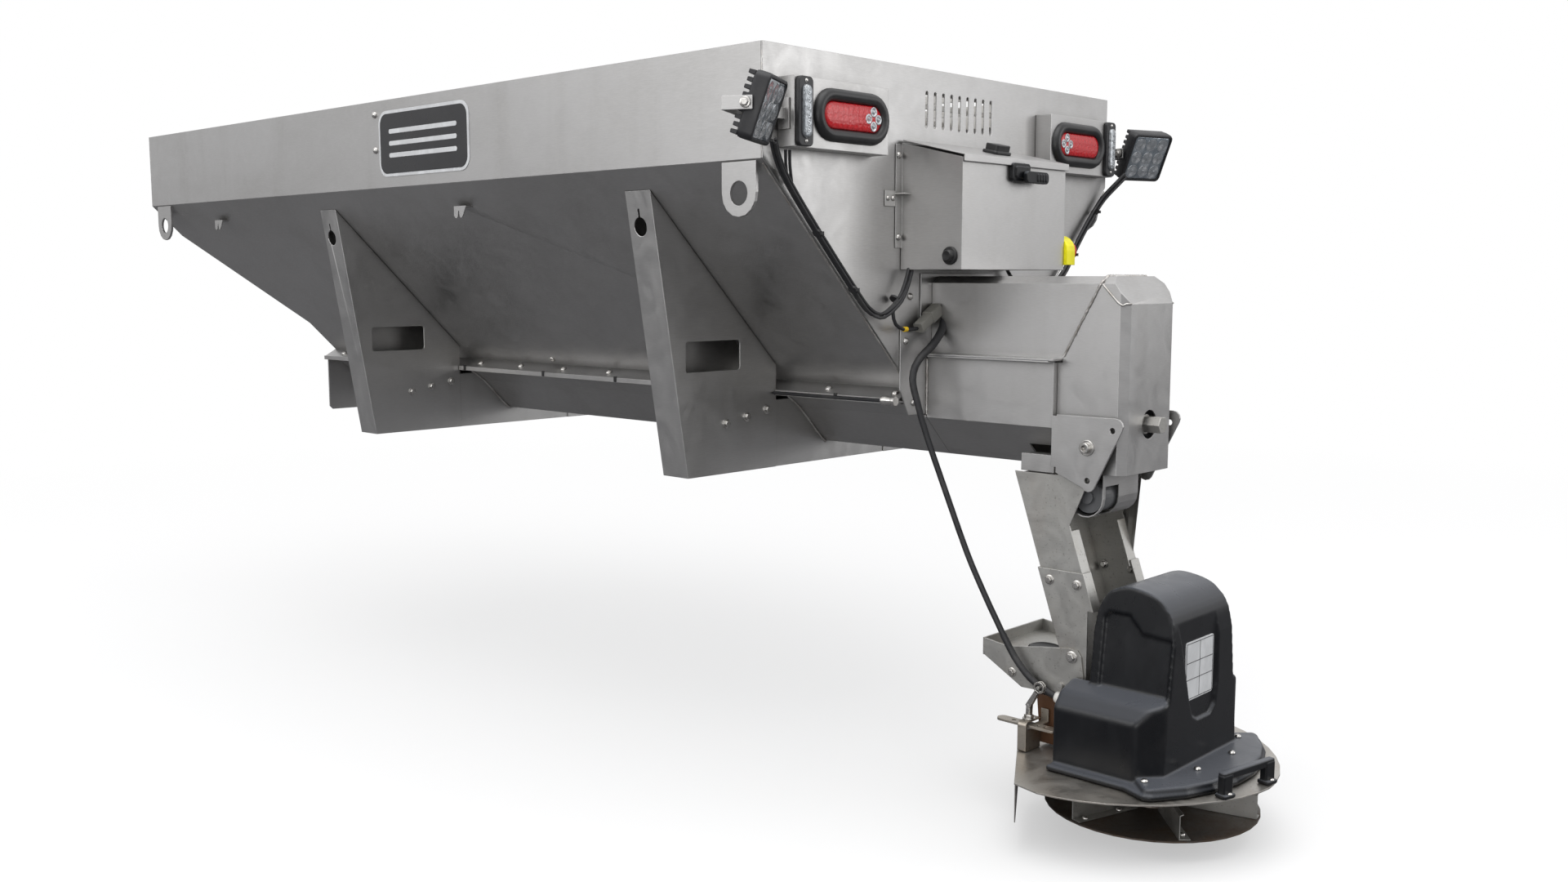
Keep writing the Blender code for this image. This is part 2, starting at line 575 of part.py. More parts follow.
# ---------------------------------------------------------------- control box and lamps
BOX_LEFT, BOX_RIGHT = -0.180, 0.160
BOX_TOP_WALL, BOX_TOP_FRONT, BOX_FLOOR = 0.640, 0.6065, 0.4017
BOX_FRONT = -0.141


def build_control_box(hinge, latch, button):
    """The electrical box on the rear wall, with a sloping lid, a latch and an emergency stop."""
    lid_drop = 0.004
    side = [(-GAP, BOX_FLOOR), (-GAP, BOX_TOP_WALL - lid_drop), (BOX_FRONT, BOX_TOP_FRONT - lid_drop),
            (BOX_FRONT, BOX_FLOOR)]
    t = 0.002
    room = [(-GAP - t, BOX_FLOOR + t), (-GAP - t, 0.7), (BOX_FRONT + t, 0.7), (BOX_FRONT + t, BOX_FLOOR + t)]
    flanges = []
    for x in (BOX_LEFT, BOX_RIGHT):
        low, high = (x - 0.018, x + 0.001) if x < 0 else (x - 0.001, x + 0.018)
        flanges.append(block((low, -GAP - 0.002, 0.442), (high, -GAP, 0.632)))
    make("control_box", STEEL, [prism(side, "x", BOX_LEFT, BOX_RIGHT)] + flanges,
         [prism(room, "x", BOX_LEFT + t, BOX_RIGHT - t), rod("z", (-0.166, -0.018), 0.008, 0.39, 0.41, 12),
          rod("y", (0.0, LATCH_Z), 0.0075, -0.2, -0.1, 16)])

    lid_rise = (BOX_TOP_WALL - BOX_TOP_FRONT) / (-GAP - BOX_FRONT)
    top = [(-0.006, BOX_TOP_WALL - lid_rise * 0.006), (BOX_FRONT - 0.0035, BOX_TOP_FRONT - lid_rise * 0.0035),
           (BOX_FRONT - 0.0035, BOX_TOP_FRONT - 0.012)]
    lid = folded(top, -0.0022, "x", BOX_LEFT - 0.003, BOX_RIGHT + 0.003)
    make("control_box_lid", STEEL, [lid], parent=hinge)

    spindle = rod("y", (0.0, LATCH_Z), 0.0068, BOX_FRONT - 0.022, BOX_FRONT + 0.010, 16)
    grip = rounded_box(-0.012, LATCH_Z - 0.011, 0.062, LATCH_Z + 0.011, 0.008, 3)
    handle = prism(grip, "y", BOX_FRONT - 0.027, BOX_FRONT - 0.0150)
    make("latch_lever", SATIN_BLACK, [spindle, handle], parent=latch)

    (centre_y, centre_z), radius = STOP_BUTTON, 0.030
    dome = [(centre_y + radius * math.cos(math.radians(a)), centre_z + radius * math.sin(math.radians(a)))
            for a in range(0, 181, 18)]
    dome += [(centre_y - radius, 0.412), (centre_y + radius, 0.412)]
    make("estop_housing", YELLOW, [prism(dome, "x", BOX_RIGHT + GAP, BOX_RIGHT + 0.030)],
         [rod("x", (centre_y, centre_z), 0.0125, BOX_RIGHT + 0.006, 0.3, 18)])
    stem = rod("x", (centre_y, centre_z), 0.0115, BOX_RIGHT + 0.014, BOX_RIGHT + 0.040, 18)
    mushroom = rod("x", (centre_y, centre_z), 0.0200, BOX_RIGHT + 0.0372, BOX_RIGHT + 0.052, 24)
    make("estop_button", RED, [stem, mushroom], parent=button)


def lamp_box():
    """The left lamp box: an open-backed tray on the rear wall with holes for its lamps."""
    y = -LAMP_DEPTH
    tray = block((-0.513, y, 0.605), (-0.265, -GAP, 0.722))
    room = block((-0.511, y + 0.002, 0.607), (-0.267, 0.05, 0.720))
    return [tray], [room, prism(oval(-0.368, 0.6635, 0.168, 0.062), "y", -0.2, 0.05)]


def oval(u, v, width, height, steps=8):
    """Corners of a long round-ended outline."""
    radius = height / 2
    outline = []
    for reach, start in (((width - height) / 2, -90), ((height - width) / 2, 90)):
        for i in range(steps + 1):
            angle = math.radians(start + 180 * i / steps)
            outline.append((u + reach + radius * math.cos(angle), v + radius * math.sin(angle)))
    return outline


def build_lamps(pins):
    """Tail lamps, marker lamps and the two work lamps, on both sides."""
    y = -LAMP_DEPTH
    for side, label in ((-1, "left"), (1, "right")):
        flip = mirrored if side > 0 else (lambda shape: shape)
        shapes, cuts = lamp_box()
        make(f"lamp_box_{label}", STEEL, [flip(s) for s in shapes], [flip(s) for s in cuts])
        ring = prism(oval(-0.368, 0.6635, 0.196, 0.090), "y", y - 0.012, y - GAP)
        collar = prism(oval(-0.368, 0.6635, 0.166, 0.060), "y", y - 0.004, y + 0.010)
        make(f"tail_lamp_{label}", LENS_RED, [flip(ring), flip(collar)])
        strip = prism(rounded_box(-0.510, 0.606, -0.474, 0.721, 0.008, 3), "y", y - 0.008, y - GAP)
        optic = prism(oval_upright(-0.492, 0.6635, 0.018, 0.088), "y", y - 0.014, y - 0.007)
        make(f"marker_lamp_{label}", LENS_CLEAR, [flip(strip), flip(optic)])
        build_work_lamp(side, label, pins[label])


def oval_upright(u, v, width, height):
    """A long round-ended outline standing on end."""
    return [(u + b, v + a) for a, b in oval(0.0, 0.0, height, width)]


def build_work_lamp(side, label, pin):
    """A square work lamp in its stirrup, aimed inwards and down."""
    centre = Vector((side * LAMP_TILT_PIN.x, LAMP_TILT_PIN.y, LAMP_TILT_PIN.z))
    yaw, pitch = lamp_aim(side)
    aim = Matrix.Translation(centre) @ Matrix.Rotation(yaw, 4, "Z")
    tilt = aim @ Matrix.Rotation(pitch, 4, "X")
    body = prism(rounded_box(-0.055, -0.055, 0.055, 0.055, 0.008, 3), "y", -0.024, 0.004)
    fins = [block((-0.052, 0.003, -0.050 + i * 0.0145), (0.052, 0.022, -0.0430 + i * 0.0145)) for i in range(7)]
    spine = block((-0.010, 0.002, -0.052), (0.010, 0.018, 0.052))
    parts = [moved(shape, tilt) for shape in [body, spine] + fins]
    make(f"work_lamp_{label}", LAMP_BLACK, parts, parent=pin)

    reach = 0.0618
    stirrup = [(-reach, -0.011), (-reach, 0.040), (reach, 0.040), (reach, -0.011)]
    arch = folded(stirrup, -0.0025, "z", -0.011, 0.011)
    bolt = [moved(rod("x", (0.0, 0.0), 0.006, s * 0.0558 if s > 0 else -0.068, 0.068 if s > 0 else -0.0558, 12),
                  aim) for s in (-1, 1)]
    low, high = sorted((side * 0.5150, side * 0.5660))
    arm = block((low, -0.0200, centre.z - 0.0095), (high, -0.0065, centre.z + 0.0095))
    low, high = sorted((side * 0.5134, side * 0.5170))
    foot = block((low, -0.0285, centre.z - 0.026), (high, -0.0040, centre.z + 0.026))
    make(f"work_lamp_bracket_{label}", STEEL, [moved(arch, aim), arm, foot] + bolt)


def lamp_aim(side):
    """How far a work lamp is turned inwards, and how far it looks down."""
    return (math.radians(28), math.radians(19)) if side < 0 else (math.radians(-20), math.radians(26))


# ---------------------------------------------------------------- chute
def chute_space():
    """From the chute's own axes (X, forward, up along the chute) to world axes, at the pivot."""
    return Matrix.Translation(PIVOT) @ Matrix.Rotation(-CHUTE_LEAN, 4, "X")


def chute_section(half, front, rear, top, bottom):
    """A C-shaped length of chute: front wall, two sides and two rear lips, in the chute's axes."""
    path = [(-half + CHUTE_LIP, rear), (-half, rear), (-half, front), (half, front), (half, rear),
            (half - CHUTE_LIP, rear)]
    return folded(path, -SHEET, "z", -bottom, -top)


def build_chute(fold, slide):
    """The upper and lower chute and the tray in front of the chute's foot."""
    space = chute_space()
    body = chute_section(CHUTE_HALF, CHUTE_FRONT, CHUTE_REAR, 0.0, 0.275)
    shapes = [moved(body, space)]
    reach_low, reach_high = CHUTE_HALF - SHEET, CHUTE_HALF
    ear = [(CHUTE_FRONT - 0.002, -0.012), (CHUTE_FRONT - 0.002, -0.20), (CHUTE_REAR, -0.20)]
    ear += [(CHUTE_REAR, -0.125), (-0.016, -0.018), (-0.020, 0.0), (-0.012, 0.014), (0.0, 0.019), (0.060, 0.0)]
    for side in (-1, 1):
        low, high = sorted((side * reach_low, side * reach_high))
        shapes.append(moved(prism(ear, "x", low, high), space))
    above = block((-0.2, -0.2985, 0.0340), (0.2, -0.10, 0.30))
    inner = block((-reach_low, -0.345, 0.0300), (reach_low, -0.10, 0.20))
    lips_top = moved(block((-0.0924, CHUTE_REAR - 0.01, -0.135), (0.0924, CHUTE_REAR + 0.006, 0.1)), space)
    lip_end = moved(block((-0.0924, CHUTE_REAR - 0.01, -0.30), (0.0924, CHUTE_REAR + 0.018, -0.225)), space)
    hole = rod("x", (PIVOT.y, PIVOT.z), 0.0068, -0.2, 0.2, 18)
    make("chute_upper", STEEL_DARK, shapes, [above, inner, lips_top, lip_end, hole], parent=fold)

    step = SHEET + 0.0007
    lower = chute_section(CHUTE_HALF + step, CHUTE_FRONT + step, CHUTE_REAR - step, 0.175, 0.440)
    below = block((-0.2, -0.60, -0.60), (0.2, -0.20, -0.352))
    behind = block((-0.2, -0.60, -0.60), (0.2, -0.369, -0.205))
    level_top = block((-0.2, -0.60, -0.138), (0.2, -0.1, 0.1))
    make("chute_lower", STEEL_DARK, [moved(lower, space)], [below, behind, level_top], parent=slide)
    build_tray(slide)


def build_tray(slide):
    """The tray bolted to the chute's foot, which carries the spinner unit on its two side plates."""
    low, high = CHUTE_HALF + SHEET + 0.0007 + GAP, CHUTE_HALF + 2 * SHEET + 0.0007 + GAP
    side = [(-0.1474, -0.290), (-0.205, -0.2975), (-0.278, -0.285), (-0.335, -0.2775), (-0.352, -0.279),
            (-0.360, -0.289), (-0.366, -0.330), (-0.335, -0.3663), (-0.235, -0.3693), (-0.151, -0.323)]
    shapes = []
    for sign in (-1, 1):
        a, b = sorted((sign * low, sign * high))
        shapes.append(prism(side, "x", a, b))
    shapes.append(block((-high, -0.1504, -0.323), (high, -0.1474, -0.290)))
    shapes.append(folded([(-0.1480, -0.3115), (-0.318, -0.3250)], SHEET, "x", -high + 0.001, high - 0.001))
    pin = [rod("x", (LEVEL_PIN.y, LEVEL_PIN.z), 0.0062, min(s * (low - 0.006), s * (high + 0.006)),
               max(s * (low - 0.006), s * (high + 0.006)), 18) for s in (-1, 1)]
    eye = rod("x", (-0.284, -0.3575), 0.0032, -0.124, -low - 0.001, 12)
    make("front_tray", STEEL_DARK, shapes + pin + [eye],
         [rod("z", (0.0, -0.222), 0.034, -0.4, -0.25, 24)], parent=slide)


# ---------------------------------------------------------------- spinner unit
def deck_outline():
    """The spinner deck: a straight front, two long front chamfers and a full, slightly pointed rear."""
    power = 2 / 1.75
    arc = []
    for degrees in range(-180, 1, 9):
        u, v = math.cos(math.radians(degrees)), math.sin(math.radians(degrees))
        across = math.copysign(DECK_HALF * abs(u) ** power, u)
        arc.append((across, DECK_WIDEST_Y - DECK_DEPTH * abs(v) ** power))
    left = [(-u, v) for u, v in (DECK_NOSE, DECK_SHOULDER)]
    return left + arc + [DECK_SHOULDER, DECK_NOSE]


def build_spinner_deck(unit, feed):
    low = CHUTE_HALF + 0.0003
    top = DECK_Z
    cheek = [(-0.340, top - 0.001), (-0.306, top - 0.001), (-0.306, LEVEL_PIN.z)]
    cheek += [(LEVEL_PIN.y + 0.014 * math.cos(math.radians(a)), LEVEL_PIN.z + 0.014 * math.sin(math.radians(a)))
              for a in range(30, 151, 30)] + [(-0.334, LEVEL_PIN.z)]
    shapes = [prism(deck_outline(), "z", top - SHEET, top)]
    cuts = [prism(rounded_box(-0.080, -0.400, 0.080, -0.275, 0.02, 3), "z", top - 0.1, top + 0.001),
            rod("z", (0, SPIN_Y), 0.022, top - 0.1, top + 0.1, 24),
            rod("x", (LEVEL_PIN.y, LEVEL_PIN.z), 0.0066, -0.2, 0.2, 18)]
    for sign in (-1, 1):
        a, b = sorted((sign * (low - SHEET), sign * low))
        shapes.append(prism(cheek, "x", a, b))
    make("spinner_deck", STEEL, shapes, cuts, parent=unit)

    half = [(-DECK_SHOULDER[0] + 0.002, DECK_SHOULDER[1]), (-DECK_NOSE[0], DECK_NOSE[1] - 0.0015)]
    skirt = folded(mirrored_path(half), -0.002, "z", -0.551, top - SHEET - GAP)
    make("front_deflector", STEEL, [skirt], parent=unit)

    clamp_top = -0.4215
    clamp = block((-0.1390, -0.2705, top + GAP), (-0.0900, -0.2520, clamp_top))
    slot = block((-0.1345, -0.4, -0.4375), (-0.05, -0.1, clamp_top - 0.0035))
    make("lever_clamp", STEEL_DARK, [clamp], [slot], parent=unit)

    foot, knee, head = (Vector((-0.1148, -0.2610, clamp_top + GAP)), Vector((-0.1150, -0.2625, -0.3940)),
                        Vector((-0.1155, -0.2840, -0.3575)))
    stud = strut_between(foot + Vector((0, 0, 0.004)), knee, 0.0060)
    rod_end = strut_between(knee - (head - knee) * 0.12, head - (head - knee).normalized() * 0.0085, 0.0048)
    ring = rod("x", (head.y, head.z), 0.0115, -0.1190, -0.1135, 18)
    nut = rod("z", (foot.x, foot.y), 0.0090, foot.z, foot.z + 0.006, 6)
    make("levelling_strut", STEEL_DARK, [ring, rod_end, stud, nut],
         [rod("x", (head.y, head.z), 0.0072, -0.2, 0.0, 16)], parent=unit)

    cone_low, cone_high = [(-0.078, -0.378), (0.078, -0.378), (0.078, -0.262), (-0.078, -0.262)], \
                          [(-0.086, -0.374), (0.086, -0.374), (0.086, -0.258), (-0.086, -0.258)]
    make("feed_funnel", ORANGE, [tapered(cone_low, -0.474, cone_high, -0.380)],
         [tapered(inset_box(cone_low, 0.004), -0.4741, inset_box(cone_high, 0.004), -0.3799)], parent=feed)
    bar_low, bar_high = -0.4330, -0.4285
    bar = rounded_box(-0.1310, -0.3240, -0.1085, -0.1970, 0.0108, 4)
    tab = block((-0.1200, -0.2860, bar_low), (-0.0862, -0.2700, bar_high))
    riser = block((-0.0884, -0.2860, bar_low), (-0.0862, -0.2700, -0.4050))
    holes = [rod("z", (-0.1198, y), 0.0042, -0.5, -0.4, 12) for y in (-0.300, -0.286, -0.232)]
    make("funnel_lever", STEEL_DARK, [prism(bar, "z", bar_low, bar_high), tab, riser], holes, parent=feed)


def tapered(low_outline, low_z, high_outline, high_z):
    """A block that changes width from its bottom outline to its top outline."""
    shape = bmesh.new()
    near = [shape.verts.new((u, v, low_z)) for u, v in low_outline]
    far = [shape.verts.new((u, v, high_z)) for u, v in high_outline]
    shape.faces.new(near)
    shape.faces.new(far)
    for i in range(len(near)):
        shape.faces.new((near[i - 1], near[i], far[i], far[i - 1]))
    return shape


def inset_box(corners, wall):
    """The corners of a rectangle moved inwards by a wall's thickness."""
    middle_u = sum(u for u, _ in corners) / len(corners)
    middle_v = sum(v for _, v in corners) / len(corners)
    return [(u - math.copysign(wall, u - middle_u), v - math.copysign(wall, v - middle_v)) for u, v in corners]


def strut_between(start, end, radius):
    """A slim round bar between two points."""
    length = (end - start).length
    turn = (end - start).to_track_quat("Z", "Y").to_matrix().to_4x4()
    return moved(rod("z", (0.0, 0.0), radius, 0.0, length, 12), Matrix.Translation(start) @ turn)


def cover_layers(inset):
    """The motor cover as two stacked blocks, drawn inset from the outer faces."""
    floor = DECK_Z + 0.0204 - (0.05 if inset else 0.0)
    front, rear, crown = -0.388 - inset, -0.545 + inset, -0.149 - inset
    spring = [(0.0, -0.080), (0.006, -0.042), (0.022, -0.014), (0.048, -0.001), (0.075, 0.0),
              (0.112, -0.008), (0.136, -0.026), (0.150, -0.050), (0.157, -0.090)]
    depth = front - rear
    stretch = depth / spring[-1][0]
    arch = [(front, floor)] + [(front - u * stretch, crown + v) for u, v in spring] + [(rear, floor)]
    tower = prism(arch, "x", -0.116 + inset, 0.116 - inset)
    wide = 0.172 - inset
    plan = [(-wide, -0.346 - inset), (-wide, -0.510), (-0.134 + 0.5 * inset, rear),
            (0.134 - 0.5 * inset, rear), (wide, -0.510), (wide, -0.346 - inset)]
    top = -0.326 - inset
    half = [(-wide, floor), (-wide, top - 0.040), (-wide + 0.022, top - 0.013), (-wide + 0.060, top)]
    return tower, prism(plan, "z", floor, top), prism(mirrored_path(half), "y", -0.6, -0.3)


def solid_of(first, steps):
    """A shape after a chain of Boolean steps, for use as a tool."""
    holder = bpy.data.objects.new("holder", mesh_of(first, "holder"))
    bpy.context.collection.objects.link(holder)
    for shape, operation in steps:
        apply_boolean(holder, shape, operation)
    shape = bmesh.new()
    shape.from_mesh(holder.data)
    bpy.data.objects.remove(holder)
    return shape


def build_cover(unit):
    """The moulded cover over the spinner motor, open below and notched for the chute."""
    tower, block_shape, section = cover_layers(0.0)
    shoulder = solid_of(block_shape, [(section, "INTERSECT")])
    in_tower, in_block, in_section = cover_layers(0.004)
    hollow_low = solid_of(in_block, [(in_section, "INTERSECT")])
    base = DECK_Z + 0.0204
    half = [(-0.193, -0.345), (-0.193, -0.500), (-0.211, -0.547), (-0.205, -0.562), (-0.150, -0.598),
            (-0.093, -0.620), (-0.030, -0.632)]
    flange = mirrored_path(half)
    notch = solid_of(block((-0.108, -0.3950, -0.60), (0.108, -0.30, -0.345)),
                     [(block((-0.108, -0.3872, -0.35), (0.108, -0.30, -0.10)), "UNION")])
    inner_wall = block((-0.112, -0.3990, -0.60), (0.112, -0.30, -0.3))
    arm_cut = solid_of(hollow_low, [(inner_wall, "DIFFERENCE")])
    plate = prism(flange, "z", DECK_Z + GAP, base + 0.001)
    make("spinner_cover", SATIN_BLACK, [plate, shoulder, tower], [in_tower, arm_cut, notch], parent=unit)


def build_spinner(unit, rotor):
    """Motor, handle, disc and vanes."""
    top = DECK_Z
    plate = rod("z", (0, SPIN_Y), 0.048, top + GAP, top + 0.008, 28)
    can = rod("z", (0, SPIN_Y), 0.044, top + 0.007, top + 0.230, 28)
    bore = rod("z", (0, SPIN_Y), 0.0085, -0.6, top + 0.060, 16)
    make("spinner_motor", GREY, [plate, can], [bore], parent=unit)

    aside = Matrix.Translation((-0.1100, -0.6440, 0)) @ Matrix.Rotation(math.radians(-11), 4, "Z")
    grip = prism(rounded_box(0.0, 0.0020, 0.140, 0.0140, 0.005, 3), "z", top + 0.030, top + 0.044)
    feet = [block((x, 0.0, top + GAP), (x + 0.0245, 0.0160, top + 0.032)) for x in (0.0, 0.1155)]
    make("deck_handle", SATIN_BLACK, [moved(shape, aside) for shape in [grip] + feet], parent=unit)

    profile = [(0.0, DISC_Z - SHEET), (DISC_RADIUS, DISC_Z - SHEET), (DISC_RADIUS, DISC_Z),
               (0.040, DISC_Z), (0.034, DISC_Z + 0.022), (0.012, DISC_Z + 0.024), (0.0080, DISC_Z + 0.026),
               (0.0080, top + 0.055), (0.0, top + 0.055)]
    make("spinner_disc", STEEL_DARK, [turned(profile, (0.0, SPIN_Y), 36)], parent=rotor)
    for i in range(VANES):
        angle = math.radians(-137 + i * 360 / VANES)
        turn = Matrix.Translation((0, SPIN_Y, 0)) @ Matrix.Rotation(angle, 4, "Z")
        foot = DISC_Z + GAP
        path = [(0.020, foot), (0.0, foot), (0.0, DISC_Z + 0.044), (0.007, DISC_Z + 0.047)]
        blade = folded(path, -0.0022, "x", 0.050, 0.188)
        make(f"vane_{i + 1}", STEEL_DARK, [moved(blade, turn)], parent=rotor)


# ---------------------------------------------------------------- the whole machine
build_hopper()
build_discharge()
build_drive()
build_pivot_brackets()
auger_axis = joint("auger_axis", (0, 0, AUGER_Z))
build_auger(auger_axis)
lid_hinge = joint("lid_hinge", (0, -0.006, BOX_TOP_WALL))
latch_axis = joint("latch_axis", (0, BOX_FRONT, LATCH_Z))
button_axis = joint("button_axis", (BOX_RIGHT, *STOP_BUTTON))
build_control_box(lid_hinge, latch_axis, button_axis)
lamp_pins = {label: joint(f"lamp_pin_{label}", (side * LAMP_TILT_PIN.x, LAMP_TILT_PIN.y, LAMP_TILT_PIN.z))
             for side, label in ((-1, "left"), (1, "right"))}
build_lamps(lamp_pins)
chute_fold = joint("chute_fold", PIVOT)
chute_slide = joint("chute_slide", PIVOT, chute_fold)
build_chute(chute_fold, chute_slide)
spinner_level = joint("spinner_level", LEVEL_PIN, chute_slide)
feed_slide = joint("feed_slide", LEVEL_PIN, spinner_level)
spinner_axis = joint("spinner_axis", (0, SPIN_Y, DECK_Z), spinner_level)
build_spinner_deck(spinner_level, feed_slide)
build_cover(spinner_level)
build_spinner(spinner_level, spinner_axis)
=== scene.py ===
"""Looks of the slide-in salt spreader: materials, mouldings, lamps, cables and fasteners on the CAD frame.

Points are drawn from the outer face of the hopper's rear wall (y = 0 there), in metres, +Z up.
"""

import json
import math

import bmesh
import bpy
from mathutils import Matrix, Vector, noise

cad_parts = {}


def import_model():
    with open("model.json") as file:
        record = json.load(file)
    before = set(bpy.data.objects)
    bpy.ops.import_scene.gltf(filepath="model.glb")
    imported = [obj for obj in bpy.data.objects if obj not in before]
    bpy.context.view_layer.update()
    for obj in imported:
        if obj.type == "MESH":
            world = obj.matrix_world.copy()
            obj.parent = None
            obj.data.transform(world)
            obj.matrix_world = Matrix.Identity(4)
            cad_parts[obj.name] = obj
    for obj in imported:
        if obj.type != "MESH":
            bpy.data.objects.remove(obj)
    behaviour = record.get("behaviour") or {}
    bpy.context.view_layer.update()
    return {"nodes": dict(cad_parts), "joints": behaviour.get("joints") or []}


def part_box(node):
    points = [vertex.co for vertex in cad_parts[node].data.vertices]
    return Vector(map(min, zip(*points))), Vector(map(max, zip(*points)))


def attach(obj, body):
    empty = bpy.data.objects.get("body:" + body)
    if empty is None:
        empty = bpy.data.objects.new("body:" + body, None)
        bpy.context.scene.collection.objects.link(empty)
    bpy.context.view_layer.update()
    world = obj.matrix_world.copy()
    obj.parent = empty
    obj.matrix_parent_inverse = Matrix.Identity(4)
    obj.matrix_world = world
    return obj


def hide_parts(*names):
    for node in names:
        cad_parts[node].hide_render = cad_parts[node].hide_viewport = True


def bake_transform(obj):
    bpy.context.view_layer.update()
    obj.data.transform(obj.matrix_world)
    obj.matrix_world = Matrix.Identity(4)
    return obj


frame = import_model()
WALL_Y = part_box("rear_wall")[0].y            # outer face of the rear wall
SHIFT = Vector((0.0, WALL_Y, 0.0))
LAMP_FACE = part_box("lamp_box_left")[0].y - WALL_Y


def drawn_box(node):
    """A node's lowest and highest corners, measured from the rear wall's outer face."""
    low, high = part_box(node)
    return low - SHIFT, high - SHIFT


BOX_LOW, BOX_HIGH = drawn_box("control_box")
DECK_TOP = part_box("spinner_cover")[0].z - 0.0004
DISC_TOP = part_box("vane_1")[0].z - 0.0004
SPIN_AXIS = Vector((0.0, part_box("spinner_disc")[0].y / 2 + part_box("spinner_disc")[1].y / 2 - WALL_Y, 0.0))
PIVOT = (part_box("pivot_bolt_left")[0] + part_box("pivot_bolt_left")[1]) / 2 - SHIFT
SIDES = ((-1, "left"), (1, "right"))


# ---------------------------------------------------------------- materials
def add_node(tree, kind, **values):
    """Adds a shader node; each value is an input's plain value, or the output that feeds it."""
    node = tree.nodes.new("ShaderNode" + kind)
    for name, value in values.items():
        feed(tree, node.inputs[name.replace("_", " ").title()], value)
    return node


def feed(tree, target, value):
    """Gives a node's input a plain value, a colour or another node's output."""
    if isinstance(value, bpy.types.NodeSocket):
        tree.links.new(value, target)
    elif target.type == "RGBA":
        target.default_value = (*value, 1.0)
    else:
        target.default_value = value


class Shader:
    """A node material under construction: each method adds nodes and returns the last one's output."""

    def __init__(self, name):
        self.material = bpy.data.materials.new(name)
        self.material.use_nodes = True
        self.tree = self.material.node_tree
        self.surface = self.tree.nodes["Principled BSDF"]
        self.place = add_node(self.tree, "TexCoord").outputs["Object"]

    def set(self, socket, value):
        feed(self.tree, self.surface.inputs[socket], value)

    def noise(self, scale, detail=4.0, stretch=(1, 1, 1), roughness=0.55, distortion=0.0):
        mapping = add_node(self.tree, "Mapping", scale=stretch, vector=self.place)
        return add_node(self.tree, "TexNoise", scale=scale, detail=detail, roughness=roughness,
                        distortion=distortion, vector=mapping.outputs["Vector"]).outputs["Fac"]

    def cells(self, scale, randomness=0.0):
        return add_node(self.tree, "TexVoronoi", scale=scale, randomness=randomness,
                        vector=self.place).outputs["Distance"]

    def ramp(self, source, low, high, from_value=0.0, to_value=1.0):
        """Stretches a stretch of the source, low to high, to the range from_value to to_value."""
        return add_node(self.tree, "MapRange", value=source, from_min=low, from_max=high,
                        to_min=from_value, to_max=to_value).outputs["Result"]

    def mix(self, amount, first, second):
        """Blends two colours, each a tuple or a node's output."""
        node = add_node(self.tree, "Mix")
        node.data_type = "RGBA"
        for socket, value in (("Factor", amount), (6, first), (7, second)):
            feed(self.tree, node.inputs[socket], value)
        return node.outputs[2]

    def math(self, operation, first, second):
        node = add_node(self.tree, "Math")
        node.operation = operation
        feed(self.tree, node.inputs[0], first)
        feed(self.tree, node.inputs[1], second)
        return node.outputs[0]

    def facing_up(self):
        """1 where the surface faces up, 0 where it is upright, for the painted highlight on top."""
        normal = add_node(self.tree, "NewGeometry").outputs["Normal"]
        return add_node(self.tree, "SeparateXYZ", vector=normal).outputs["Z"]

    def corner_dirt_and_shade(self, distance):
        """1 in the open, falling towards 0 in inside corners: the mask for dirt and painted shade there."""
        node = add_node(self.tree, "AmbientOcclusion", distance=distance)
        node.samples = 6
        return node.outputs["AO"]

    def bump(self, height, strength, distance, rounded=0.0):
        node = add_node(self.tree, "Bump", strength=strength, distance=distance, height=height)
        if rounded:
            edge = add_node(self.tree, "Bevel", radius=rounded)
            edge.samples = 4
            feed(self.tree, node.inputs["Normal"], edge.outputs[0])
        self.set("Normal", node.outputs[0])


def stainless(name, clean, stain, roughness, stain_amount=0.35, grain=(1, 1, 14), speckle=0.0, rust=0.0):
    """Matte stainless sheet: rolling grain, cloudy stains, smudges, dirt and painted shade in the corners,
    rust specks.
    """
    look = Shader(name)
    clouds = look.noise(2.6, 5.0, (1, 0.55, 1.6), 0.6, 0.4)
    streaks = look.noise(9.0, 4.0, (1, 1, 0.16), 0.55)
    fibres = look.noise(70.0, 3.0, grain, 0.5)
    smudges = look.noise(14.0, 6.0, (1, 1, 1), 0.65, 1.2)
    cloudy = look.ramp(clouds, 0.36, 0.7)
    colour = look.mix(look.math("MULTIPLY", cloudy, stain_amount), clean, stain)
    colour = look.mix(look.ramp(streaks, 0.52, 0.72, 0.0, stain_amount * 0.8), colour, stain)
    lighter = tuple(min(1.0, c * 1.13) for c in clean)
    colour = look.mix(look.ramp(fibres, 0.42, 0.62, 0.0, 0.28), colour, lighter)
    # Partly painted shade: inside corners darken by occlusion, for the shade that falls there as well as for
    # dirt.
    dirt_and_shade = look.ramp(look.corner_dirt_and_shade(0.022), 0.3, 0.92, 0.5, 0.0)
    colour = look.mix(dirt_and_shade, colour, tuple(c * 0.42 for c in stain))
    if speckle:
        specks = look.ramp(look.noise(190.0, 2.0), 0.64, 0.7, 0.0, speckle)
        colour = look.mix(specks, colour, (0.1, 0.085, 0.07))
    if rust:
        bloom = look.math("MULTIPLY", look.ramp(look.noise(11.0, 6.0, (1, 1, 0.6), 0.7), 0.5, 0.68), rust)
        colour = look.mix(bloom, colour, (0.3, 0.17, 0.085))
    look.set("Base Color", colour)
    look.set("Metallic", 1.0 if not rust else look.ramp(smudges, 0.3, 0.8, 1.0, 0.75))
    look.set("Roughness", look.math("ADD", look.ramp(smudges, 0.3, 0.7, -0.06, 0.09), roughness))
    height = look.math("ADD", look.math("MULTIPLY", fibres, 0.7), look.noise(420.0, 2.0))
    look.bump(height, 0.1, 0.0004, 0.0012)
    return look.material


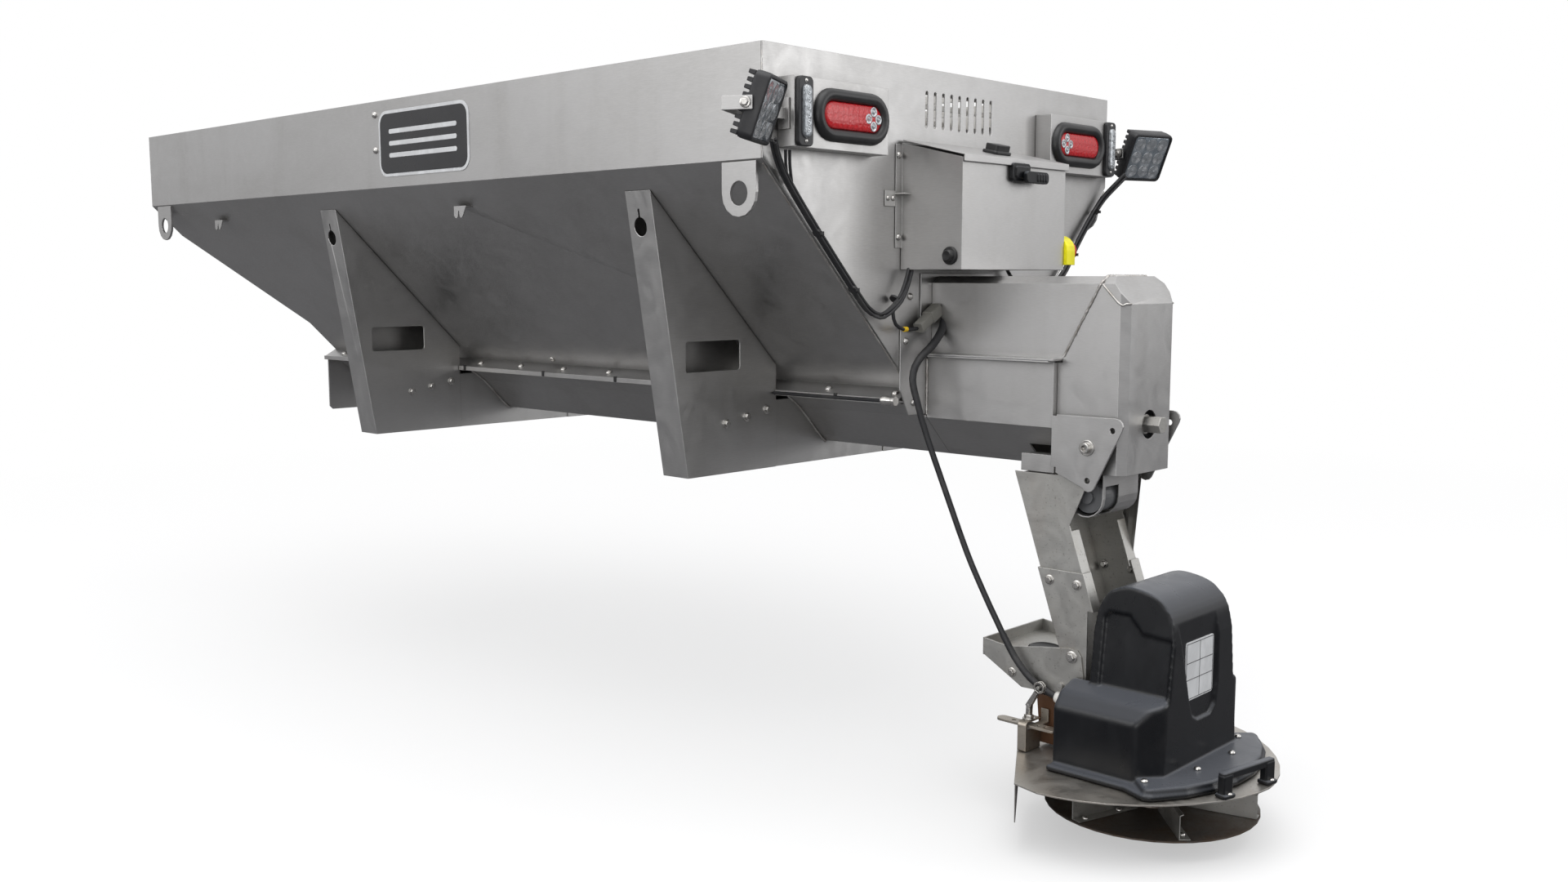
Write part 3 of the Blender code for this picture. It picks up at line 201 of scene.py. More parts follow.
def moulded(name, colour, roughness, grain=900.0, dust=0.0, rounded=0.0015, gloss=0.5, top_highlight=0.0):
    """Moulded plastic or rubber with a fine grain, faint handling marks and dust; faces that point up can get
    a painted highlight.
    """
    look = Shader(name)
    marks = look.noise(18.0, 6.0, (1, 1, 0.5), 0.65, 0.8)
    base = look.mix(look.ramp(marks, 0.45, 0.75, 0.0, 0.45), colour, tuple(c * 1.7 + 0.003 for c in colour))
    if dust:
        base = look.mix(look.ramp(look.noise(7.0, 8.0, (1, 1, 1), 0.7), 0.5, 0.72, 0.0, dust), base,
                        (0.22, 0.21, 0.195))
    # Painted highlight: faces that point up turn a lighter blue-grey, as if lit from above.
    if top_highlight:
        base = look.mix(look.ramp(look.facing_up(), 0.3, 1.0, 0.0, top_highlight), base, (0.105, 0.112, 0.128))
    look.set("Base Color", base)
    look.set("Roughness", look.ramp(marks, 0.3, 0.75, roughness - 0.06, roughness + 0.12))
    look.set("Specular IOR Level", gloss)
    look.bump(look.noise(grain, 2.0), 0.12, 0.0003, rounded)
    return look.material


def lens(name, tint, deep, pitch, mirror=0.0, coat=1.0):
    """A moulded lamp lens over a grid of reflectors."""
    look = Shader(name)
    grid = look.cells(1.0 / pitch)
    facets = look.cells(2.6 / pitch, 1.0)
    glow = look.ramp(grid, 0.1, 0.55, 1.0, 0.0)
    colour = look.mix(look.math("MULTIPLY", glow, look.ramp(facets, 0.0, 0.6, 1.0, 0.35)), deep, tint)
    look.set("Base Color", colour)
    look.set("Metallic", mirror)
    look.set("Roughness", look.ramp(facets, 0.0, 0.5, 0.1, 0.3))
    look.set("Coat Weight", coat)
    look.set("Coat Roughness", 0.04)
    look.bump(look.math("ADD", grid, look.math("MULTIPLY", facets, 0.5)), 0.55, 0.0022)
    return look.material


def weld_metal():
    """A weld bead: bright ripples, patched with a darker, warmer grey."""
    look = Shader("weld")
    ripples = look.noise(160.0, 2.0, (1, 1, 1), 0.4)
    tint = look.mix(look.ramp(look.noise(30.0, 3.0), 0.4, 0.65), (0.64, 0.63, 0.61), (0.43, 0.4, 0.37))
    look.set("Base Color", tint)
    look.set("Metallic", 1.0)
    look.set("Roughness", look.ramp(ripples, 0.3, 0.7, 0.28, 0.5))
    look.bump(ripples, 0.6, 0.001)
    return look.material


def spinner_steel():
    """The disc's steel, browned by salt in patches."""
    look = Shader("stained_disc_painted_shade")
    patches = look.noise(9.0, 7.0, (1, 1, 1), 0.7, 0.6)
    grains = look.noise(150.0, 3.0)
    # Partly painted shade: both colours are set dark for the shadow the disc lies in, besides the real salt
    # browning.
    colour = look.mix(look.ramp(patches, 0.4, 0.66), (0.15, 0.135, 0.122), (0.095, 0.058, 0.033))
    colour = look.mix(look.ramp(grains, 0.58, 0.68, 0.0, 0.7), colour, (0.09, 0.06, 0.04))
    look.set("Base Color", colour)
    look.set("Metallic", look.ramp(patches, 0.4, 0.7, 0.9, 0.45))
    look.set("Roughness", look.ramp(patches, 0.35, 0.7, 0.34, 0.62))
    look.bump(grains, 0.2, 0.0005)
    return look.material


STEEL = stainless("hopper_stainless", (0.53, 0.525, 0.52), (0.36, 0.35, 0.335), 0.4)
# Painted light: a lighter copy of the hopper's stainless for the legs and cross members, which lie in the
# hopper's shade.
STEEL_PAINTED_LIGHT = stainless("painted_light_stainless", (0.62, 0.615, 0.605), (0.44, 0.43, 0.41), 0.34, 0.3)
STEEL_WORN = stainless("chute_stainless", (0.5, 0.495, 0.475), (0.345, 0.33, 0.3), 0.42, 0.5,
                       speckle=0.35, rust=0.12)
STEEL_RUSTY = stainless("clamp_stainless", (0.46, 0.43, 0.38), (0.31, 0.25, 0.19), 0.4, 0.5,
                        speckle=0.4, rust=0.4)
STEEL_DECK = stainless("deck_stainless", (0.53, 0.515, 0.485), (0.36, 0.32, 0.27), 0.38, 0.5,
                       grain=(14, 1, 1), speckle=0.35, rust=0.14)
DISC = spinner_steel()
FASTENER = stainless("fastener_steel", (0.66, 0.65, 0.63), (0.42, 0.39, 0.35), 0.24, 0.4)
WELD = weld_metal()
# The cover's last value paints a highlight onto its faces that point up.
COVER_BLACK = moulded("cover_plastic", (0.0045, 0.005, 0.0065), 0.3, 700.0, 0.03, 0.003, 0.34, 0.75)
RUBBER = moulded("black_rubber", (0.012, 0.012, 0.013), 0.36, 500.0, 0.08)
LAMP_BLACK = moulded("lamp_casting", (0.014, 0.014, 0.016), 0.42, 600.0, 0.06, 0.001)
CABLE = moulded("cable_sleeve", (0.016, 0.016, 0.018), 0.5, 350.0, 0.2)
SAFETY_YELLOW = moulded("yellow_plastic", (0.83, 0.76, 0.0), 0.3, 800.0)
SAFETY_RED = moulded("red_plastic", (0.55, 0.012, 0.012), 0.3, 800.0)
TAG_YELLOW = moulded("yellow_seal", (0.78, 0.5, 0.01), 0.42, 800.0)
ORANGE = moulded("orange_rubber", (0.085, 0.034, 0.011), 0.55, 400.0, 0.3)
MOTOR_GREY = moulded("motor_enamel", (0.1, 0.103, 0.108), 0.36, 300.0, 0.25)
CONNECTOR = moulded("grey_connector", (0.2, 0.195, 0.175), 0.45, 500.0, 0.2)
GLAND = moulded("white_gland", (0.62, 0.61, 0.58), 0.4, 500.0, 0.15)
PLATE_PALE = moulded("pale_label", (0.6, 0.61, 0.62), 0.35, 900.0, 0.05)
PLATE_DARK = moulded("dark_badge", (0.014, 0.014, 0.016), 0.3, 900.0, 0.04)
RED_LENS = lens("red_lens", (1.0, 0.022, 0.034), (0.5, 0.004, 0.01), 0.0135, 0.0, 0.3)
CLEAR_LENS = lens("clear_lens", (0.92, 0.93, 0.95), (0.3, 0.32, 0.34), 0.015, 0.55)
FLOOD_LENS = lens("flood_lens", (0.86, 0.89, 0.93), (0.2, 0.23, 0.26), 0.032, 0.65)

CAD_LOOKS = {
    STEEL: ["side_panel_left", "side_panel_right", "rear_wall", "front_wall", "auger_trough",
            "discharge_plate", "front_bearing_plate", "trough_extension", "tunnel_cover", "end_box",
            "motor_guard", "control_box", "control_box_lid", "lamp_box_left", "lamp_box_right",
            "work_lamp_bracket_left", "work_lamp_bracket_right", "pivot_bracket_left", "pivot_bracket_right"],
    STEEL_PAINTED_LIGHT: ["leg_rear_left", "leg_rear_right", "leg_front_left", "leg_front_right",
                   "cross_member_rear", "cross_member_front"],
    STEEL_WORN: ["chute_upper", "chute_lower", "front_tray", "levelling_strut", "auger", "salt_baffle",
                 "top_screen", "vane_1", "vane_2", "vane_3", "vane_4", "vane_5", "vane_6"],
    STEEL_DECK: ["spinner_deck", "front_deflector"],
    STEEL_RUSTY: ["lever_clamp", "funnel_lever"],
    DISC: ["spinner_disc"],
    FASTENER: ["pivot_bolt_left", "pivot_bolt_right"],
    MOTOR_GREY: ["auger_gearbox", "auger_motor", "spinner_motor"],
    ORANGE: ["feed_funnel"],
    COVER_BLACK: ["spinner_cover", "deck_handle", "latch_lever"],
    SAFETY_YELLOW: ["estop_housing"],
    SAFETY_RED: ["estop_button"],
    RUBBER: ["tail_lamp_left", "tail_lamp_right"],
    LAMP_BLACK: ["marker_lamp_left", "marker_lamp_right", "work_lamp_left", "work_lamp_right"],
}


def dress_cad_nodes():
    """Gives every CAD node its material and softens its edges."""
    for look, names in CAD_LOOKS.items():
        for name in names:
            node = frame["nodes"][name]
            node.data.materials.clear()
            node.data.materials.append(look)
            weld = node.modifiers.new("weld", "WELD")
            weld.merge_threshold = 0.00002
            edge = node.modifiers.new("edge", "BEVEL")
            edge.width = 0.0009
            edge.segments = 2
            edge.limit_method = "ANGLE"
            edge.angle_limit = math.radians(35)
            edge.harden_normals = False


# ---------------------------------------------------------------- shape helpers
def piece(name, shape, look, body, soften=0.0, segments=3, smooth=35):
    """A finished visual piece: the shape is moved to the wall, given its look and carried by a body."""
    bmesh.ops.remove_doubles(shape, verts=shape.verts, dist=1e-6)
    bmesh.ops.recalc_face_normals(shape, faces=shape.faces)
    mesh = bpy.data.meshes.new(name)
    shape.to_mesh(mesh)
    shape.free()
    mesh.shade_smooth()
    mesh.set_sharp_from_angle(angle=math.radians(smooth))
    made = bpy.data.objects.new(name, mesh)
    bpy.context.collection.objects.link(made)
    made.location = SHIFT
    mesh.materials.append(look)
    if soften:
        edge = made.modifiers.new("edge", "BEVEL")
        edge.width = soften
        edge.segments = segments
        edge.limit_method = "ANGLE"
        edge.angle_limit = math.radians(28)
    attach(made, body)
    return made


def place(axis, u, v, w):
    return {"x": (w, u, v), "y": (u, w, v), "z": (u, v, w)}[axis]


def add_prism(shape, outline, axis, low, high):
    """Adds a closed prism to the shape: an outline across an axis, stretched from low to high."""
    near = [shape.verts.new(place(axis, u, v, low)) for u, v in outline]
    far = [shape.verts.new(place(axis, u, v, high)) for u, v in outline]
    shape.faces.new(near)
    shape.faces.new(far)
    for i in range(len(outline)):
        shape.faces.new((near[i - 1], near[i], far[i], far[i - 1]))
    return shape


def add_block(shape, low, high):
    outline = [(low[0], low[1]), (high[0], low[1]), (high[0], high[1]), (low[0], high[1])]
    return add_prism(shape, outline, "z", low[2], high[2])


def circle(u, v, radius, steps=24):
    return [(u + radius * math.cos(2 * math.pi * i / steps), v + radius * math.sin(2 * math.pi * i / steps))
            for i in range(steps)]


def rounded_box(u0, v0, u1, v1, radius, steps=5):
    """Corners of a rectangle with round corners, anticlockwise."""
    corners = ((u1 - radius, v1 - radius, 0), (u0 + radius, v1 - radius, 1),
               (u0 + radius, v0 + radius, 2), (u1 - radius, v0 + radius, 3))
    return [(mu + radius * math.cos((quarter + i / steps) * math.pi / 2),
             mv + radius * math.sin((quarter + i / steps) * math.pi / 2))
            for mu, mv, quarter in corners for i in range(steps + 1)]


def stadium(u, v, reach, radius, upright=False, steps=12):
    """Corners of a round-ended outline; its straight part is twice the reach long."""
    points = []
    for i in range(2 * steps + 2):
        end = 1 if i <= steps else -1
        angle = math.radians(-90 + 180 * (i if end > 0 else i - 1) / steps)
        points.append((end * reach + radius * math.cos(angle), radius * math.sin(angle)))
    return [(u - b, v + a) if upright else (u + a, v + b) for a, b in points]


def add_rings(shape, rings, cap_first=True, cap_last=True):
    """Joins a stack of equal rings of points with faces."""
    rows = [[shape.verts.new(p) for p in ring] for ring in rings]
    for a, b in zip(rows, rows[1:]):
        for i in range(len(a)):
            shape.faces.new((a[i - 1], a[i], b[i], b[i - 1]))
    if cap_first:
        shape.faces.new(rows[0])
    if cap_last:
        shape.faces.new(rows[-1])
    return shape


def frame_towards(direction):
    """A turn that takes +Z to the direction."""
    return Vector(direction).to_track_quat("Z", "Y").to_matrix().to_4x4()


def add_turned(shape, profile, point, direction, steps=20):
    """Adds a turned form: profile points (radius, height) about a direction, from a point."""
    turn = Matrix.Translation(point) @ frame_towards(direction)
    rings = [[turn @ Vector((u, v, height)) for u, v in circle(0, 0, max(radius, 1e-5), steps)]
             for radius, height in profile]
    return add_rings(shape, rings)


def along(points, spacing):
    """Points of a smooth curve through the given ones, a spacing apart."""
    points = [Vector(p) for p in points]
    points = [points[0] * 2 - points[1]] + points + [points[-1] * 2 - points[-2]]
    smooth_points = []
    for a, b, c, d in zip(points, points[1:], points[2:], points[3:]):
        count = max(2, int((c - b).length / spacing))
        for i in range(count):
            t = i / count
            smooth_points.append(0.5 * ((2 * b) + (c - a) * t + (2 * a - 5 * b + 4 * c - d) * t * t
                                        + (3 * b - a - 3 * c + d) * t ** 3))
    smooth_points.append(points[-2])
    return smooth_points


def add_tube(shape, points, radius, steps=10, ripple=0.0):
    """Adds a round tube along points; a ripple roughens it."""
    rings = []
    side = None
    for i, p in enumerate(points):
        ahead = points[min(i + 1, len(points) - 1)] - points[max(i - 1, 0)]
        ahead.normalize()
        if side is None:
            side = ahead.orthogonal().normalized()
        side = (side - ahead * side.dot(ahead)).normalized()
        other = ahead.cross(side)
        size = radius(i / (len(points) - 1)) if callable(radius) else radius
        ring = []
        for k in range(steps):
            angle = 2 * math.pi * k / steps
            out = side * math.cos(angle) + other * math.sin(angle)
            grow = 1 + ripple * noise.noise((p + out * size) * 260)
            ring.append(p + out * size * grow)
        rings.append(ring)
    return add_rings(shape, rings)


def cut(target, shapes):
    """Cuts shapes out of a finished piece's mesh with exact Booleans."""
    for shape in shapes:
        bmesh.ops.recalc_face_normals(shape, faces=shape.faces)
        mesh = bpy.data.meshes.new("cutter")
        shape.to_mesh(mesh)
        shape.free()
        cutter = bpy.data.objects.new("cutter", mesh)
        bpy.context.collection.objects.link(cutter)
        cutter.location = SHIFT
        apply_boolean(target, cutter, "DIFFERENCE")


def apply_boolean(target, tool, operation):
    step = target.modifiers.new(operation, "BOOLEAN")
    step.operation = operation
    step.solver = "EXACT"
    step.object = tool
    bake(target)
    bpy.data.objects.remove(tool)


def bake(target):
    """Applies every modifier of a piece."""
    bpy.context.view_layer.update()
    graph = bpy.context.evaluated_depsgraph_get()
    result = bpy.data.meshes.new_from_object(target.evaluated_get(graph))
    target.modifiers.clear()
    target.data = result


# ---------------------------------------------------------------- fasteners
DOME = [(0.0062, 0.0), (0.0062, 0.0008), (0.0054, 0.0026), (0.0036, 0.004), (0.0012, 0.0046)]
WASHER = [(0.0098, 0.0), (0.0098, 0.0012), (0.0092, 0.0016), (0.004, 0.0016)]


def add_dome(shape, point, direction, size=1.0):
    """A round-headed bolt or blind rivet."""
    add_turned(shape, [(r * size, h * size) for r, h in DOME], point, direction, 16)


def add_hex(shape, point, direction, size=1.0):
    """A flanged hexagon head."""
    point = Vector(point)
    add_turned(shape, [(r * size, h * size) for r, h in WASHER], point, direction, 20)
    lift = Vector(direction).normalized() * 0.0014 * size
    add_turned(shape, [(0.0066 * size, 0.0), (0.0068 * size, 0.0006), (0.0068 * size, 0.0046 * size),
                       (0.0058 * size, 0.0056 * size)], point + lift, direction, 6)


def add_socket(shape, point, direction, size=1.0):
    """A cap screw with a hexagon socket, on a washer."""
    point = Vector(point)
    add_turned(shape, [(0.0125 * size, 0.0), (0.0125 * size, 0.0016), (0.0118 * size, 0.0022),
                       (0.006 * size, 0.0022)], point, direction, 28)
    lift = Vector(direction).normalized() * 0.002
    add_turned(shape, [(0.008 * size, 0.0), (0.008 * size, 0.0072 * size), (0.0074 * size, 0.008 * size),
                       (0.0046 * size, 0.008 * size), (0.0044 * size, 0.0035 * size)],
               point + lift, direction, 24)


def fasteners(name, body, add, places):
    """One piece that holds a group of like fasteners: each place is (point, direction, size)."""
    shape = bmesh.new()
    for point, direction, size in places:
        add(shape, point, direction, size)
    piece(name, shape, FASTENER, body)


def both_sides(places):
    """The places and their mirror images."""
    return places + [((-p[0], p[1], p[2]), (-d[0], d[1], d[2]), s) for p, d, s in places]


def build_fasteners():
    slope, rail = (-1, 0, -1), (-0.488, 0, 0.873)
    skirt_x = -0.55
    fasteners("skirt_rivets", "hopper", add_dome,
              both_sides([((skirt_x, 1.206, z), (-1, 0, 0), 1.25) for z in (0.67, 0.748)]))
    rows = [0.025 + 0.17 * i for i in range(13) if i != 2]
    fasteners("rail_bolts", "hopper", add_dome,
              both_sides([((-0.1602, y, 0.167), rail, 1.35) for y in rows]
                         + [((-0.154, y, 0.19), slope, 1.2) for y in (0.495, 1.095, 1.695)]))
    leg_bolts = []
    for node, outwards in (("leg_rear_left", -1), ("leg_front_left", -1), ("leg_rear_left", 1),
                           ("leg_front_left", 1)):
        low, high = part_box(node)
        y = (low.y if outwards < 0 else high.y) - WALL_Y
        leg_bolts += [((x, y, z), (0, outwards, 0), 1.0)
                      for x, z in ((-0.319, 0.0998), (-0.2614, 0.1095), (-0.2029, 0.1201))]
    fasteners("leg_bolts", "hopper", add_hex, both_sides(leg_bolts))
    plate_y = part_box("discharge_plate")[0].y - WALL_Y
    fasteners("discharge_rivets", "hopper", add_dome,
              both_sides([((-0.166, plate_y, 0.268), (0, -1, 0), 1.1), ((-0.15, 0.0, 0.352), (0, -1, 0), 1.1),
                          ((-0.14, plate_y, 0.15), (0, -1, 0), 1.1)]))
    fasteners("chute_bolts", "lower_chute", add_hex,
              both_sides([((-0.0992, -0.2886, -0.158), (-1, 0, 0), 0.95),
                          ((-0.0992, -0.3461, -0.16), (-1, 0, 0), 0.95)]))
    fasteners("chute_nuts", "lower_chute", add_hex,
              both_sides([((-0.0918, -0.2886, -0.158), (1, 0, 0), 0.85),
                          ((-0.0918, -0.3461, -0.16), (1, 0, 0), 0.85)]))
    tray_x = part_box("chute_lower")[0].x - 0.0035
    fasteners("tray_bolts", "lower_chute", add_hex,
              both_sides([((tray_x, -0.3412, -0.2923), (-1, 0, 0), 1.15),
                          ((tray_x, -0.2142, -0.3446), (-1, 0, 0), 0.9)]))
    flange_z = DECK_TOP + 0.0216
    fasteners("cover_screws", "spinner_unit", add_dome,
              [((x, y, flange_z), (0, 0, 1), 1.05)
               for x, y in ((-0.174, -0.531), (-0.057, -0.568), (0.062, -0.574), (0.155, -0.541))])
    strip_y = -0.0024
    fasteners("box_screws", "hopper", add_dome,
              [((x, strip_y, z), (0, -1, 0), 1.0) for x in (BOX_LOW.x + 0.008, BOX_HIGH.x - 0.008)
               for z in (0.462, 0.612)])
    fasteners("marker_screws", "hopper", add_dome,
              both_sides([((-0.492, LAMP_FACE - 0.0078, z), (0, -1, 0), 0.6) for z in (0.6145, 0.7135)]))
    vane_bolts = []
    for i in range(6):
        angle = math.radians(-137 + 60 * i)
        for radius in (0.087, 0.166):
            x = radius * math.cos(angle) - 0.011 * math.sin(angle)
            y = radius * math.sin(angle) + 0.011 * math.cos(angle)
            vane_bolts.append(((x, SPIN_AXIS.y + y, DISC_TOP + 0.0024), (0, 0, 1), 1.0))
    fasteners("vane_bolts", "rotor", add_dome, vane_bolts)
    shape = bmesh.new()
    for side, _ in SIDES:
        face = side * 0.104
        add_socket(shape, (face, PIVOT.y, PIVOT.z), (side, 0, 0), 1.15)
    made = piece("pivot_screws", shape, FASTENER, "hopper")
    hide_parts("pivot_bolt_left", "pivot_bolt_right")


# ---------------------------------------------------------------- lamps
TAIL_X, TAIL_Z, TAIL_REACH, TAIL_RADIUS = 0.368, 0.6635, 0.053, 0.0235


def build_tail_lamps():
    """Oval lamps: a thick rubber ring, a red lens with raised optics and a clear window at the inner end."""
    for side, label in SIDES:
        x = side * TAIL_X
        section = [(-0.0005, 0.006), (0.0, -0.005), (0.0035, -0.0098), (0.0085, -0.0122), (0.014, -0.0118),
                   (0.0185, -0.0085), (0.0212, -0.003), (0.0216, -0.0002)]
        rings = [[(u, LAMP_FACE + depth, v) for u, v in stadium(x, TAIL_Z, TAIL_REACH, TAIL_RADIUS + grow)]
                 for grow, depth in section]
        ring = piece(f"tail_lamp_ring_{label}", add_rings(bmesh.new(), rings, False, False), RUBBER, "hopper",
                     smooth=60)
        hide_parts(f"tail_lamp_{label}")
        dome = []
        for shrink, depth in ((0.0, 0.0), (0.0008, -0.0048), (0.003, -0.0066), (0.01, -0.0076),
                              (0.0225, -0.008)):
            dome.append([(u, LAMP_FACE + depth, v)
                         for u, v in stadium(x, TAIL_Z, TAIL_REACH, TAIL_RADIUS - shrink)])
        piece(f"tail_lens_{label}", add_rings(bmesh.new(), dome, False, True), RED_LENS, "hopper", smooth=50)
        clear = bmesh.new()
        middle = side * (TAIL_X - TAIL_REACH + 0.001)
        for du, dv in ((-0.0145, 0), (0.0145, 0), (0, 0.0125), (0, -0.0125)):
            add_turned(clear, [(0.0085, 0.0), (0.0088, 0.0015), (0.007, 0.0022), (0.0045, 0.0012),
                               (0.003, 0.0026), (0.001, 0.0032)],
                       (middle + du * 0.9, LAMP_FACE - 0.0066, TAIL_Z + dv), (0, -1, 0), 18)
        piece(f"tail_window_{label}", clear, CLEAR_LENS, "hopper", smooth=50)


def build_marker_lamps():
    """Upright strobe bars: a black base with a clear ribbed lens."""
    for side, label in SIDES:
        x = side * 0.492
        low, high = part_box(f"marker_lamp_{label}")
        base = bmesh.new()
        outline = rounded_box(low.x, low.z, high.x, high.z, 0.009)
        add_prism(base, outline, "y", LAMP_FACE - 0.0082, LAMP_FACE)
        made = piece(f"marker_base_{label}", base, LAMP_BLACK, "hopper", soften=0.0016)
        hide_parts(f"marker_lamp_{label}")
        rings = [[(u, LAMP_FACE + depth, v)
                  for u, v in stadium(x, TAIL_Z, 0.034 - s * 0.6, 0.01 - s, True, 8)]
                 for s, depth in ((0.0, -0.008), (0.0, -0.011), (0.0012, -0.0135), (0.0045, -0.0146))]
        piece(f"marker_lens_{label}", add_rings(bmesh.new(), rings), CLEAR_LENS, "hopper", smooth=40)
        cups = bmesh.new()
        for i in range(6):
            z = TAIL_Z + (i - 2.5) * 0.0125
            add_turned(cups, [(0.0052, 0.0), (0.0056, 0.0006), (0.0046, 0.001), (0.0024, 0.0004),
                              (0.0014, 0.0016)], (x, LAMP_FACE - 0.0144, z), (0, -1, 0), 14)
        piece(f"marker_cups_{label}", cups, CLEAR_LENS, "hopper", smooth=50)


def lamp_matrix(side, tilt=True):
    """From a work lamp's own axes (lens towards -Y) to the drawing's axes, from the lamp's joint."""
    name = "lamp_tilt_left" if side < 0 else "lamp_tilt_right"
    hinge = [j for j in frame["joints"] if j["name"] == name][0]
    across = Vector(hinge["axis"])
    centre = Vector(hinge["pos_m"]) - SHIFT
    yaw = math.atan2(across.y, across.x)
    matrix = Matrix.Translation(centre) @ Matrix.Rotation(yaw, 4, "Z")
    pitch = math.radians(19 if side < 0 else 26)
    return matrix @ Matrix.Rotation(pitch, 4, "X") if tilt else matrix


def build_work_lamps():
    """Square flood lamps: bezel, lens, round reflectors, cooling fins and the bolts they tilt on."""
    for side, label in SIDES:
        turn = lamp_matrix(side)
        body = f"lamp_{label}"
        bezel = bmesh.new()
        half = 0.0548
        layers = [(half - 0.006, 0.004, 0.01), (half - 0.001, 0.001, 0.011), (half, -0.004, 0.012),
                  (half, -0.019, 0.012), (half - 0.0012, -0.0228, 0.011), (half - 0.0035, -0.024, 0.009),
                  (half - 0.0062, -0.024, 0.007), (half - 0.0068, -0.02, 0.0065)]
        rings = [[turn @ Vector((u, y, v)) for u, v in rounded_box(-h, -h, h, h, r)] for h, y, r in layers]
        add_rings(bezel, rings, True, False)
        case = piece(f"work_lamp_case_{label}", bezel, LAMP_BLACK, body, smooth=40)
        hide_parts(f"work_lamp_{label}")
        fins = bmesh.new()
        for i in range(9):
            z = -0.048 + i * 0.012
            depth = 0.0145 if i % 2 == 0 else 0.0135
            fin = [turn @ Vector(p) for p in ((-0.051, 0.002, z - 0.004), (0.051, 0.002, z - 0.004),
                                              (0.049, depth, z - 0.0034), (-0.049, depth, z - 0.0034),
                                              (-0.051, 0.002, z + 0.004), (0.051, 0.002, z + 0.004),
                                              (0.049, depth, z + 0.0034), (-0.049, depth, z + 0.0034))]
            corners = [fins.verts.new(p) for p in fin]
            for face in ((0, 1, 2, 3), (7, 6, 5, 4), (0, 4, 5, 1), (1, 5, 6, 2), (2, 6, 7, 3), (3, 7, 4, 0)):
                fins.faces.new([corners[k] for k in face])
        piece(f"work_lamp_fins_{label}", fins, LAMP_BLACK, body, soften=0.001, segments=2)
        glass = bmesh.new()
        edge = half - 0.0069
        rings = [[turn @ Vector((u, y, v)) for u, v in rounded_box(-h, -h, h, h, 0.006)]
                 for h, y in ((edge, -0.018), (edge, -0.0215), (edge - 0.0012, -0.0224))]
        add_rings(glass, rings)
        piece(f"work_lamp_lens_{label}", glass, FLOOD_LENS, body, smooth=40)
        cups = bmesh.new()
        step = 0.0305
        for i in range(3):
            for k in range(3):
                centre = turn @ Vector(((i - 1) * step, -0.0222, (k - 1) * step))
                direction = turn.to_3x3() @ Vector((0, -1, 0))
                add_turned(cups, [(0.014, 0.0), (0.0136, 0.0007), (0.011, 0.0003), (0.0075, 0.0008),
                                  (0.004, 0.0003), (0.0022, 0.0012), (0.0008, 0.0014)], centre, direction, 24)
        piece(f"work_lamp_cups_{label}", cups, CLEAR_LENS, body, smooth=60)
        knobs = bmesh.new()
        flat = lamp_matrix(side, False)
        for end in (-1, 1):
            add_hex(knobs, flat @ Vector((end * 0.0642, 0, 0)), flat.to_3x3() @ Vector((end, 0, 0)), 0.9)
        piece(f"work_lamp_bolts_{label}", knobs, FASTENER, "hopper")


# ---------------------------------------------------------------- control box
def build_control_box_fittings():
    """Latch, lid grip, side plug, the stop button's collar and the small bracket on the wall."""
    front = BOX_LOW.y
    base = bmesh.new()
    add_prism(base, rounded_box(-0.036, 0.566, 0.022, 0.6, 0.007), "y", front - 0.01, front)
    add_prism(base, rounded_box(-0.029, 0.572, 0.016, 0.594, 0.005), "y", front - 0.0135, front - 0.009)
    piece("latch_base", base, COVER_BLACK, "hopper", soften=0.0014)
    lever = bmesh.new()
    low, high = drawn_box("latch_lever")
    outline = rounded_box(low.x, low.z, high.x, high.z, 0.009)
    add_prism(lever, outline, "y", low.y + 0.002, low.y + 0.0105)
    for i in range(4):
        x = high.x - 0.01 - i * 0.009
        add_prism(lever, rounded_box(x - 0.0028, low.z + 0.004, x + 0.0028, high.z - 0.004, 0.0024, 3),
                  "y", low.y, low.y + 0.004)
    made = piece("latch_grip", lever, COVER_BLACK, "latch", soften=0.0012)
    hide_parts("latch_lever")

    lid_low, lid_high = drawn_box("control_box_lid")
    fall = math.atan2(0.0335, lid_high.y - lid_low.y)
    tilt = Matrix.Translation((0.0, -0.088, 0.6235)) @ Matrix.Rotation(fall, 4, "X")
    grip = bmesh.new()
    add_prism(grip, rounded_box(-0.0235, -0.016, 0.0215, 0.014, 0.006), "z", 0.0, 0.016)
    add_prism(grip, rounded_box(-0.0275, -0.019, 0.0255, 0.017, 0.007), "z", -0.002, 0.004)
    bmesh.ops.transform(grip, matrix=tilt, verts=grip.verts)
    piece("lid_grip", grip, RUBBER, "box_lid", soften=0.002)

    rim = [(0.0165, 0.0), (0.0165, 0.0022), (0.015, 0.004), (0.0115, 0.0046), (0.0105, 0.0105),
           (0.0085, 0.0125), (0.006, 0.012), (0.001, 0.0112)]
    plug = add_turned(bmesh.new(), rim, (BOX_LOW.x + 0.018, -0.115, 0.427), (-1, 0, 0), 28)
    piece("side_plug", plug, RUBBER, "hopper", smooth=40)

    tab = bmesh.new()
    add_block(tab, (-0.229, -0.003, 0.518), (-0.199, -0.0002, 0.547))
    add_block(tab, (-0.2005, -0.024, 0.54), (-0.172, -0.0002, 0.543))
    piece("wall_bracket", tab, STEEL_PAINTED_LIGHT, "hopper", soften=0.0008)
    fasteners("wall_bracket_rivets", "hopper", add_dome,
              [((-0.222, -0.003, 0.5325), (0, -1, 0), 0.8), ((-0.207, -0.003, 0.5325), (0, -1, 0), 0.8)])

    low, high = drawn_box("estop_housing")
    neck = bmesh.new()
    middle = (low + high) / 2
    add_turned(neck, [(0.02, 0.0), (0.02, 0.003), (0.015, 0.006), (0.0125, 0.0065)],
               (high.x - 0.0002, middle.y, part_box("estop_button")[0].z + 0.02), (1, 0, 0), 28)
    piece("stop_collar", neck, LAMP_BLACK, "hopper", smooth=40)


